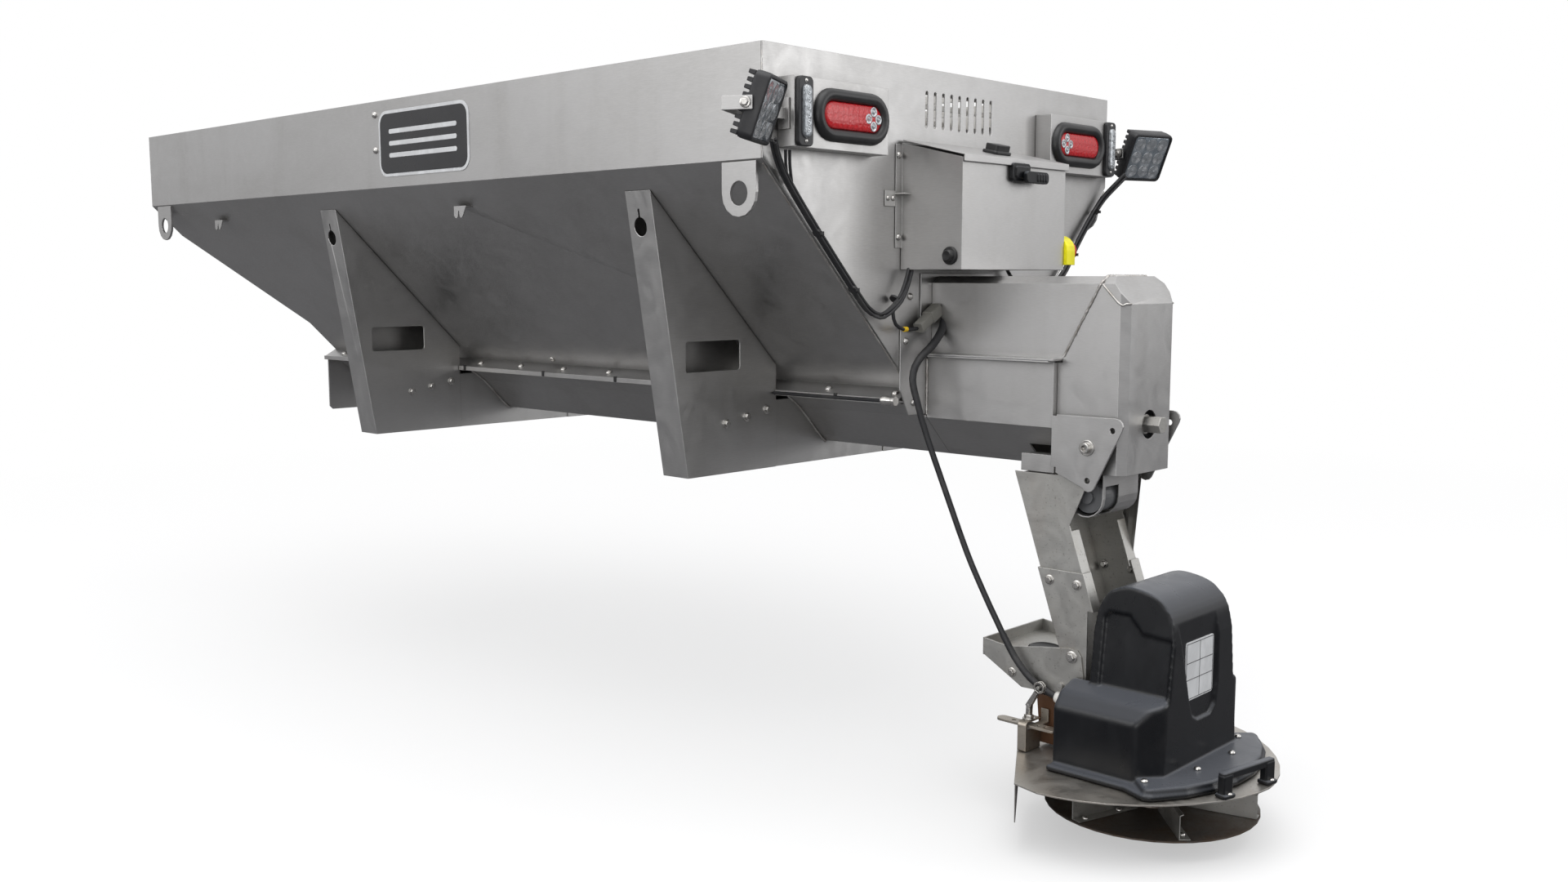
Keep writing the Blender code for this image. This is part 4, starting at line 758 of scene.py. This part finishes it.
# ---------------------------------------------------------------- labels
def build_plates():
    """A plain dark badge with a light border and three bars on each skirt."""
    for side, label in SIDES:
        face = side * 0.55
        rim = bmesh.new()
        outer = rounded_box(0.842, 0.609, 1.19, 0.753, 0.03, 8)
        add_prism(rim, outer, "x", *sorted((face, face + side * 0.0012)))
        piece(f"badge_border_{label}", rim, PLATE_PALE, "hopper")
        dark = bmesh.new()
        add_prism(dark, rounded_box(0.849, 0.616, 1.183, 0.746, 0.024, 8), "x",
                  *sorted((face + side * 0.001, face + side * 0.0018)))
        piece(f"badge_face_{label}", dark, PLATE_DARK, "hopper")
        bars = bmesh.new()
        for z in (0.655, 0.681, 0.707):
            add_prism(bars, rounded_box(0.885, z - 0.005, 1.147, z + 0.005, 0.0045, 3), "x",
                      *sorted((face + side * 0.0016, face + side * 0.0022)))
        piece(f"badge_bars_{label}", bars, PLATE_PALE, "hopper")


# ---------------------------------------------------------------- spinner unit
def cover_half_width(z):
    """Half the width of the cover's tower: its sides draw in towards the top."""
    return 0.1165 - 0.125 * (z + 0.3)


def draft(shape, offset=0.0):
    """Moves a shape's points sideways onto the tower's drawn-in sides, or a little inside them."""
    for corner in shape.verts:
        if abs(corner.co.x) < 1.5:
            corner.co.x = math.copysign(cover_half_width(corner.co.z) - offset, corner.co.x)
    return shape


def build_cover():
    """The moulded motor cover: a vaulted tower on a shouldered base, with pressed panels."""
    front, rear, crown, base_z = -0.388, -0.545, -0.149, DECK_TOP + 0.0006
    vault = [(0.0, -0.08), (0.006, -0.042), (0.022, -0.014), (0.048, -0.001), (0.075, 0.0),
             (0.112, -0.008), (0.136, -0.026), (0.15, -0.05), (0.157, -0.09)]
    curve = along([(0, front - u, crown + v) for u, v in vault], 0.007)
    arch = [(front, base_z)] + [(p.y, p.z) for p in curve] + [(rear, base_z)]
    cover = piece("motor_cover", draft(add_prism(bmesh.new(), arch, "x", -1, 1)), COVER_BLACK, "spinner_unit")
    soft = cover.data.attributes.new("bevel_weight_edge", "FLOAT", "EDGE")
    for edge in cover.data.edges:
        a, b = (cover.data.vertices[i].co for i in edge.vertices)
        if a.x * b.x > 0:
            soft.data[edge.index].value = 1.0 if min(a.z, b.z) > crown - 0.075 else 0.55
    rounding = cover.modifiers.new("edge", "BEVEL")
    rounding.width, rounding.segments, rounding.limit_method = 0.017, 5, "WEIGHT"
    bake(cover)

    panels = []
    for side, _ in SIDES:
        outline = [(-0.407, -0.372), (-0.407, -0.205), (-0.416, -0.196), (-0.456, -0.196), (-0.474, -0.215),
                   (-0.482, -0.224), (-0.538, -0.228), (-0.538, -0.372)]
        recess = add_prism(bmesh.new(), outline, "x", *sorted((side * 1.0, side * 2.0)))
        panels.append(draft(recess, 0.0052))
        for corner in recess.verts:
            if abs(corner.co.x) > 1.5:
                corner.co.x = side * 0.16
    cut(cover, panels)

    wide, top = 0.172, -0.3265
    half = [(-wide, base_z), (-wide, -0.3655), (-0.15, -0.34), (-0.112, top)]
    section = half + [(-u, v) for u, v in reversed(half)]
    shape = add_prism(bmesh.new(), section, "y", rear, -0.346)
    block = piece("cover_base", shape, COVER_BLACK, "spinner_unit")
    corners = []
    for side, _ in SIDES:
        outline = [(side * 0.18, -0.5026), (side * 0.18, -0.6), (side * 0.118, -0.6), (side * 0.118, -0.5597)]
        corners.append(add_prism(bmesh.new(), outline, "z", base_z - 0.01, top + 0.02))
    cut(block, corners)
    rounding = block.modifiers.new("edge", "BEVEL")
    rounding.width, rounding.segments, rounding.angle_limit = 0.008, 4, math.radians(20)
    bake(block)
    apply_boolean(cover, block, "UNION")

    panels = []
    face = [(-0.087, -0.192), (0.048, -0.188), (0.052, -0.196), (0.056, -0.33), (0.05, -0.368),
            (0.032, -0.384), (-0.014, -0.384), (-0.034, -0.374), (-0.048, -0.34), (-0.09, -0.202)]
    panels.append(add_prism(bmesh.new(), face, "y", rear - 0.03, rear + 0.006))
    cut(cover, panels)

    low = [(-0.193, -0.347), (-0.193, -0.5), (-0.211, -0.547), (-0.205, -0.562), (-0.15, -0.598),
           (-0.093, -0.62), (-0.03, -0.632)]
    high = [(-0.15, -0.49), (-0.206, -0.547), (-0.2, -0.559), (-0.148, -0.594), (-0.092, -0.616),
            (-0.029, -0.628)]
    for half, height, rounded in ((low, 0.011, 0.0035), (high, 0.0208, 0.006)):
        plan = half + [(-u, v) for u, v in reversed(half)]
        shape = add_prism(bmesh.new(), plan, "z", base_z, DECK_TOP + height)
        foot = piece("cover_flange", shape, COVER_BLACK, "spinner_unit", soften=rounded)
        bake(foot)
        apply_boolean(cover, foot, "UNION")
    cut(cover, [add_block(bmesh.new(), (-0.108, -0.395, -0.52), (0.108, -0.3, -0.345)),
                add_block(bmesh.new(), (-0.108, -0.3872, -0.36), (0.108, -0.3, -0.1)),
                add_block(bmesh.new(), (-0.06, -0.515, -0.52), (0.06, -0.399, -0.235))])

    even = cover.modifiers.new("even", "REMESH")
    even.mode, even.voxel_size = "VOXEL", 0.0023
    bake(cover)
    melt = cover.modifiers.new("melt", "SMOOTH")
    melt.factor, melt.iterations = 0.6, 4
    bake(cover)
    cover.data.shade_smooth()
    cover.data.materials.clear()
    cover.data.materials.append(COVER_BLACK)
    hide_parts("spinner_cover")

    low, high = (-0.058, -0.345), (0.044, -0.24)
    label = add_prism(bmesh.new(), rounded_box(*low, *high, 0.006, 4), "y", rear + 0.0042, rear + 0.0066)
    piece("cover_label", label, PLATE_PALE, "spinner_unit")
    lines = bmesh.new()
    for x in (-0.0555, -0.007, 0.0415):
        add_block(lines, (x - 0.0005, rear + 0.0039, low[1] + 0.003),
                  (x + 0.0005, rear + 0.005, high[1] - 0.003))
    for z in (-0.342, -0.3075, -0.2775, -0.243):
        add_block(lines, (-0.0555, rear + 0.0038, z - 0.0005), (0.0415, rear + 0.005, z + 0.0005))
    piece("cover_label_lines", lines, PLATE_DARK, "spinner_unit")


def build_deck_handle():
    """The moulded carrying handle, set slightly askew at the deck's rear edge."""
    aside = Matrix.Translation((-0.11, -0.644, DECK_TOP)) @ Matrix.Rotation(math.radians(-11), 4, "Z")
    shape = bmesh.new()
    for end in (0.0, 0.1155):
        add_block(shape, (end, 0.001, 0.0006), (end + 0.0245, 0.015, 0.04))
        add_block(shape, (end - 0.0015, -0.004, 0.0006), (end + 0.026, 0.019, 0.008))
    add_block(shape, (0.0005, 0.0015, 0.031), (0.1395, 0.0145, 0.0445))
    bmesh.ops.transform(shape, matrix=aside, verts=shape.verts)
    made = piece("deck_grip", shape, COVER_BLACK, "spinner_unit", soften=0.0026)
    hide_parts("deck_handle")
    fasteners("deck_grip_screws", "spinner_unit", add_dome,
              [(aside @ Vector((end, -0.001, 0.008)), (0, 0, 1), 0.75) for end in (0.0122, 0.1278)])


def build_strut():
    """The levelling strut: a stud on a nut, a fork with two eyes, and the bent strap it stands on."""
    foot, knee, head = (Vector((-0.1148, -0.261, -0.4211)), Vector((-0.115, -0.2625, -0.394)),
                        Vector((-0.1163, -0.284, -0.3575)))
    shape = bmesh.new()
    add_turned(shape, [(0.012, 0), (0.012, 0.0014), (0.006, 0.0014)],
               foot + Vector((0, 0, 0.0002)), (0, 0, 1), 24)
    add_turned(shape, [(0.0086, 0), (0.0092, 0.0006), (0.0092, 0.0058), (0.0086, 0.0064)],
               foot + Vector((0, 0, 0.0014)), (0, 0, 1), 6)
    add_turned(shape, [(0.0058, 0), (0.0062, 0.001), (0.0062, 0.02), (0.0052, 0.0222)],
               foot + Vector((0, 0, 0.007)), knee - foot, 20)
    towards = (head - knee).normalized()
    across = Vector((0, towards.z, -towards.y))
    for x in (-0.0044, 0.0018):
        start, end = knee - towards * 0.004, head - towards * 0.0085
        outline = [start + across * 0.0052, start - across * 0.0052,
                   end - across * 0.004, end + across * 0.004]
        add_prism(shape, [(p.y, p.z) for p in outline], "x", head.x + x, head.x + x + 0.0026)
        rings = []
        for i in range(25):
            angle = 2 * math.pi * i / 24
            rings.append([(head.x + x + w, head.y + r * math.cos(angle), head.z + r * math.sin(angle))
                          for r, w in ((0.0074, 0.0), (0.0112, 0.0), (0.0112, 0.0026), (0.0074, 0.0026))])
        add_rings(shape, rings, False, False)
    made = piece("strut_fork", shape, FASTENER, "spinner_unit", soften=0.0004, segments=1)
    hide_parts("levelling_strut")

    low, high = drawn_box("lever_clamp")
    arc = [(low.x + 0.008 - 0.008 * math.sin(a), high.z - 0.008 + 0.008 * math.cos(a))
           for a in (math.pi * i / 10 for i in range(6))]
    strap = [(high.x, high.z)] + arc + [
        (low.x, low.z + 0.003), (low.x + 0.003, low.z), (high.x, low.z), (high.x, -0.4375),
        (low.x + 0.0075, -0.4375), (low.x + 0.0045, -0.4345), (low.x + 0.0045, -0.429),
        (low.x + 0.0085, -0.425), (high.x, -0.425)]
    shape = add_prism(bmesh.new(), strap, "y", low.y, high.y)
    made = piece("clamp_strap", shape, STEEL_RUSTY, "spinner_unit", soften=0.0012)
    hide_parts("lever_clamp")

    # A black disc fills the hole in the tray and keeps the hole dark.
    plug = bmesh.new()
    add_turned(plug, [(0.033, 0.0), (0.033, 0.005), (0.03, 0.0062), (0.027, 0.004), (0.001, 0.0036)],
               (0.0, -0.222, -0.3214), (0, -0.08, 1), 32)
    piece("tray_hole_disc", plug, RUBBER, "lower_chute", smooth=40)


# ---------------------------------------------------------------- welds and cables
def weld(name, points, radius=0.0024):
    shape = bmesh.new()
    add_tube(shape, along(points, 0.0035), radius, 8, 0.55)
    piece(name, shape, WELD, "hopper", smooth=80)


def build_welds():
    """Weld beads round the end box, the extension, the wall's seams and the trough's cradles."""
    for side, label in SIDES:
        x = side * 0.0868
        weld(f"mitre_weld_{label}", [(x, -0.3, 0.247), (x, -0.3055, 0.256), (x, -0.34, 0.3185),
                                     (x, -0.3718, 0.3765), (side * 0.078, -0.3724, 0.3828),
                                     (side * 0.066, -0.3726, 0.39)])
        weld(f"box_weld_{label}", [(side * 0.0872, -0.376, 0.3755), (side * 0.0872, -0.41, 0.342),
                                   (side * 0.081, -0.419, 0.342), (side * 0.073, -0.425, 0.342)],
             radius=0.0018)
        weld(f"extension_weld_{label}", [(side * 0.1005, -0.005, 0.125), (side * 0.1005, -0.005, 0.232)],
             radius=0.002)
        weld(f"wall_seam_{label}", [(side * 0.5475, 0.0016, 0.577), (side * 0.145, 0.0016, 0.1745)],
             radius=0.0016)
        weld(f"corner_seam_{label}", [(side * 0.549, 0.0016, 0.762), (side * 0.549, 0.0016, 0.59)],
             radius=0.0014)
        for node in ("rear", "front"):
            low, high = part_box(f"cross_member_{node}")
            for end, y in (("a", low.y - WALL_Y - 0.0004), ("b", high.y - WALL_Y + 0.0004)):
                weld(f"cradle_weld_{node}_{label}_{end}",
                     [(side * 0.139, y, 0.145), (side * 0.098, y, 0.1155), (side * 0.036, y, 0.053),
                      (side * 0.018, y, 0.0385)], radius=0.0026)
    weld("mitre_weld_top", [(-0.066, -0.3726, 0.3904), (0.066, -0.3726, 0.3904)])


def cable(name, points, body, radius=0.0032, blend=None):
    shape = bmesh.new()
    add_tube(shape, along(points, 0.012), radius, 10, 0.03)
    made = piece(name, shape, CABLE, body, smooth=80)
    if blend:
        made.parent = None
        made.location = SHIFT
        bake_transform(made)
    return made


def shifted(points, x=0.0, y=0.0, z=0.0):
    return [(p[0] + x, p[1] + y, p[2] + z) for p in points]


def tie(name, point, direction, radius):
    """A cable tie with its head."""
    shape = bmesh.new()
    outer = radius + 0.0011
    add_turned(shape, [(radius, -0.0022), (outer, -0.002), (outer, 0.002), (radius, 0.0022)],
               point, direction, 18)
    head = Vector(point) + Vector((0, -radius - 0.002, 0))
    add_block(shape, head - Vector((0.003, 0.0025, 0.003)), head + Vector((0.003, 0.0025, 0.003)))
    piece(name, shape, RUBBER, "hopper")


def build_cables():
    """Lamp looms, the branch to the spinner's hose, the hose itself and the lead along the rail."""
    left = [(-0.56, -0.03, 0.612), (-0.535, -0.016, 0.585), (-0.505, -0.011, 0.548), (-0.426, -0.009, 0.464),
            (-0.33, -0.009, 0.366), (-0.292, -0.01, 0.33), (-0.268, -0.016, 0.318), (-0.245, -0.02, 0.325),
            (-0.212, -0.022, 0.348), (-0.192, -0.021, 0.376), (-0.178, -0.019, 0.404)]
    lead = [(-0.515, -0.02, 0.6), (-0.508, -0.014, 0.575), (-0.5, -0.011, 0.548)]
    cable("left_lead_0", lead, "hopper", 0.0028)
    cable("left_lead_1", shifted(lead, 0.01), "hopper", 0.0028)
    right = [(0.565, -0.04, 0.612), (0.545, -0.028, 0.59), (0.52, -0.014, 0.562), (0.488, -0.01, 0.53),
             (0.44, -0.01, 0.482), (0.4, -0.01, 0.436), (0.372, -0.012, 0.404), (0.33, -0.01, 0.372),
             (0.25, -0.01, 0.352), (0.19, -0.012, 0.372), (0.15, -0.016, 0.4)]
    for label, points, side in (("left", left, 1), ("right", right, -1)):
        for i, (dx, dy, dz) in enumerate(((0, 0, 0), (0.007, -0.003, 0.003), (0.003, -0.006, -0.004))):
            loom = shifted(points, side * dx, dy, dz)
            cable(f"{label}_loom_{i}", loom, "hopper", 0.0036 - 0.0004 * i)
    ties = ((-0.426, 0.464), (-0.33, 0.366), (-0.212, 0.348), (0.488, 0.53), (0.4, 0.436))
    for i, (x, z) in enumerate(ties):
        tie(f"loom_tie_{i}", (x, -0.0125, z), (1, 0, math.copysign(1, -x)), 0.0085)

    branch = [(-0.222, -0.022, 0.343), (-0.23, -0.024, 0.322), (-0.222, -0.024, 0.302), (-0.2, -0.024, 0.292),
              (-0.17, -0.02, 0.291), (-0.15, -0.018, 0.292)]
    cable("branch_lead", branch, "hopper", 0.0034)
    band = bmesh.new()
    for point in ((-0.198, -0.0238, 0.2918), (-0.092, -0.0165, 0.3235)):
        add_turned(band, [(0.0034, 0), (0.0048, 0.0004), (0.0048, 0.0106), (0.0034, 0.011)],
                   point, (1, 0.1, 0), 16)
    piece("yellow_band_wall", band, TAG_YELLOW, "hopper")
    plug = bmesh.new()
    start, end = Vector((-0.148, -0.019, 0.292)), Vector((-0.084, -0.016, 0.328))
    turn = Matrix.Translation((start + end) / 2) @ (end - start).to_track_quat("X", "Z").to_matrix().to_4x4()
    for low, high, w, h in ((-0.036, 0.004, 0.0095, 0.01), (0.002, 0.036, 0.0115, 0.012)):
        add_prism(plug, rounded_box(-w, -h, w, h, 0.003, 3), "x", low, high)
    bmesh.ops.transform(plug, matrix=turn, verts=plug.verts)
    piece("connector", plug, CONNECTOR, "hopper", soften=0.0012)

    hose_top = [(-0.084, -0.018, 0.329), (-0.076, -0.024, 0.316), (-0.088, -0.032, 0.292),
                (-0.12, -0.034, 0.262), (-0.158, -0.028, 0.232), (-0.172, -0.026, 0.198),
                (-0.168, -0.036, 0.15), (-0.16, -0.052, 0.09), (-0.15, -0.08, 0.01),
                (-0.136, -0.112, -0.085)]
    hose_mid = [(-0.136, -0.112, -0.085), (-0.13, -0.134, -0.14), (-0.126, -0.168, -0.205),
                (-0.122, -0.205, -0.27)]
    hose_end = [(-0.122, -0.205, -0.27), (-0.119, -0.232, -0.312), (-0.114, -0.262, -0.345),
                (-0.106, -0.296, -0.366), (-0.1, -0.318, -0.374)]

    def world(p):
        return tuple(Vector(p) + SHIFT)

    cable("hose_top", hose_top, "hopper", lambda t: 0.0085 - 0.0028 * min(1.0, t * 1.6),
          blend=("hopper", "upper_chute", world((-0.16, -0.05, 0.13)), world(hose_top[-1])))
    cable("hose_middle", hose_mid, "upper_chute", 0.0057,
          blend=("upper_chute", "lower_chute", world(hose_mid[0]), world(hose_mid[-1])))
    cable("hose_end", hose_end, "lower_chute", 0.0064,
          blend=("lower_chute", "spinner_unit", world(hose_end[0]), world(hose_end[-1])))
    gland = bmesh.new()
    add_turned(gland, [(0.0065, 0.0), (0.0095, 0.002), (0.0115, 0.006), (0.0115, 0.018), (0.0135, 0.019),
                       (0.0135, 0.026), (0.011, 0.03)], (-0.103, -0.308, -0.371), (0.15, -1, -0.25), 18)
    piece("cable_gland", gland, GLAND, "spinner_unit", smooth=40)

    rail = [(-0.19, 0.012, 0.1555), (-0.1885, 0.06, 0.1545), (-0.184, 0.12, 0.1535), (-0.1835, 0.24, 0.153),
            (-0.1835, 0.3225, 0.153)]
    cable("rail_cable", rail, "hopper", 0.0034)
    clips = bmesh.new()
    for y in (0.16, 0.56, 0.83, 1.1, 1.43, 1.75):
        add_block(clips, (-0.1815, y - 0.004, 0.149), (-0.177, y + 0.004, 0.1615))
    piece("rail_clips", clips, RUBBER, "hopper", soften=0.001, segments=2)
    nut = bmesh.new()
    add_turned(nut, [(0.005, 0.0), (0.009, 0.002), (0.0095, 0.012), (0.0078, 0.016), (0.0078, 0.026),
                     (0.009, 0.027), (0.009, 0.034)], (-0.1895, 0.034, 0.1555), (0, -1, 0), 16)
    piece("rail_cable_nut", nut, FASTENER, "hopper", smooth=40)


# ---------------------------------------------------------------- stage, light and camera
def choose_by_ray(tree, unseen, seen):
    """A shader that is one thing to the camera and another to light and reflections."""
    paths = add_node(tree, "LightPath")
    choose = add_node(tree, "MixShader", fac=paths.outputs["Is Camera Ray"])
    feed(tree, choose.inputs[1], unseen)
    feed(tree, choose.inputs[2], seen)
    return choose.outputs[0]


def build_floor():
    """A pale floor that fades to white far away and throws little light back up."""
    floor_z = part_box("spinner_disc")[0].z - 0.045
    shape = add_block(bmesh.new(), (-40, -40, floor_z - 0.05), (40, 40, floor_z))
    mesh = bpy.data.meshes.new("floor")
    bmesh.ops.recalc_face_normals(shape, faces=shape.faces)
    shape.to_mesh(mesh)
    shape.free()
    floor = bpy.data.objects.new("floor", mesh)
    bpy.context.collection.objects.link(floor)
    material = bpy.data.materials.new("pale_floor")
    material.use_nodes = True
    mesh.materials.append(material)
    tree = material.node_tree
    tree.nodes.clear()
    near = add_node(tree, "BsdfDiffuse", color=(0.86, 0.86, 0.86))
    unseen = add_node(tree, "BsdfDiffuse", color=(0.16, 0.16, 0.165))
    white = add_node(tree, "Emission", color=(1, 1, 1))
    length = add_node(tree, "VectorMath", vector=add_node(tree, "TexCoord").outputs["Object"])
    length.operation = "LENGTH"
    fade = add_node(tree, "MapRange", value=length.outputs["Value"], from_min=1.6, from_max=6.0, to_min=0.45)
    near_far = add_node(tree, "MixShader", fac=fade.outputs["Result"])
    feed(tree, near_far.inputs[1], near.outputs[0])
    feed(tree, near_far.inputs[2], white.outputs[0])
    add_node(tree, "OutputMaterial", surface=choose_by_ray(tree, unseen.outputs[0], near_far.outputs[0]))


def build_world():
    """Soft light from above, dimmer towards the horizon, and plain white to the camera."""
    world = bpy.data.worlds.new("studio")
    bpy.context.scene.world = world
    world.use_nodes = True
    tree = world.node_tree
    split = add_node(tree, "SeparateXYZ", vector=add_node(tree, "TexCoord").outputs["Generated"])
    height = add_node(tree, "MapRange", value=split.outputs["Z"], from_min=-1.0)
    ramp = add_node(tree, "ValToRGB", fac=height.outputs["Result"])
    first, last = ramp.color_ramp.elements
    first.position, first.color = 0.46, (0.24, 0.24, 0.25, 1)
    last.position, last.color = 1.0, (1.15, 1.15, 1.16, 1)
    for position, level in ((0.5, 0.66), (0.62, 0.8)):
        ramp.color_ramp.elements.new(position).color = (level, level, level * 1.01, 1)
    back = tree.nodes["Background"]
    feed(tree, back.inputs["Color"], ramp.outputs["Color"])
    plain = add_node(tree, "Background", color=(1, 1, 1))
    feed(tree, tree.nodes["World Output"].inputs["Surface"],
         choose_by_ray(tree, back.outputs[0], plain.outputs[0]))


def build_lights():
    for name, spot, target, size, power in (
            ("overhead", (-1.5, -1.0, 4.2), (0.0, 0.6, 0.3), 4.0, 90.0),
            ("left_window", (-5.5, 2.2, 2.2), (-0.5, 0.8, 0.3), 3.0, 60.0),
            ("rear_window", (2.6, -4.5, 1.6), (0.0, -0.6, 0.0), 2.6, 42.0),
            ("low_fill", (-4.2, -2.2, 0.2), (-0.3, 0.9, 0.0), 2.2, 34.0)):
        lamp = bpy.data.lights.new(name, "AREA")
        lamp.energy = power
        lamp.size = size
        holder = bpy.data.objects.new(name, lamp)
        bpy.context.collection.objects.link(holder)
        holder.location = spot
        aim = Vector(target) - Vector(spot)
        holder.rotation_euler = aim.to_track_quat("-Z", "Y").to_euler()


def build_camera():
    """The camera, off the rear left corner."""
    camera = bpy.data.cameras.new("camera")
    camera.sensor_width = 36.0
    camera.lens = 32.27
    camera.clip_start = 0.05
    holder = bpy.data.objects.new("camera", camera)
    bpy.context.collection.objects.link(holder)
    holder.location = Vector((-2.2604, -1.6554, 0.3906)) + SHIFT
    holder.rotation_euler = (math.radians(90 - 6.7), 0.0, math.radians(-46.8))
    bpy.context.scene.camera = holder
    bpy.context.scene.view_settings.view_transform = "Standard"


dress_cad_nodes()
build_fasteners()
build_tail_lamps()
build_marker_lamps()
build_work_lamps()
build_control_box_fittings()
build_plates()
build_cover()
build_deck_handle()
build_strut()
build_welds()
build_cables()
build_floor()
build_world()
build_lights()
build_camera()
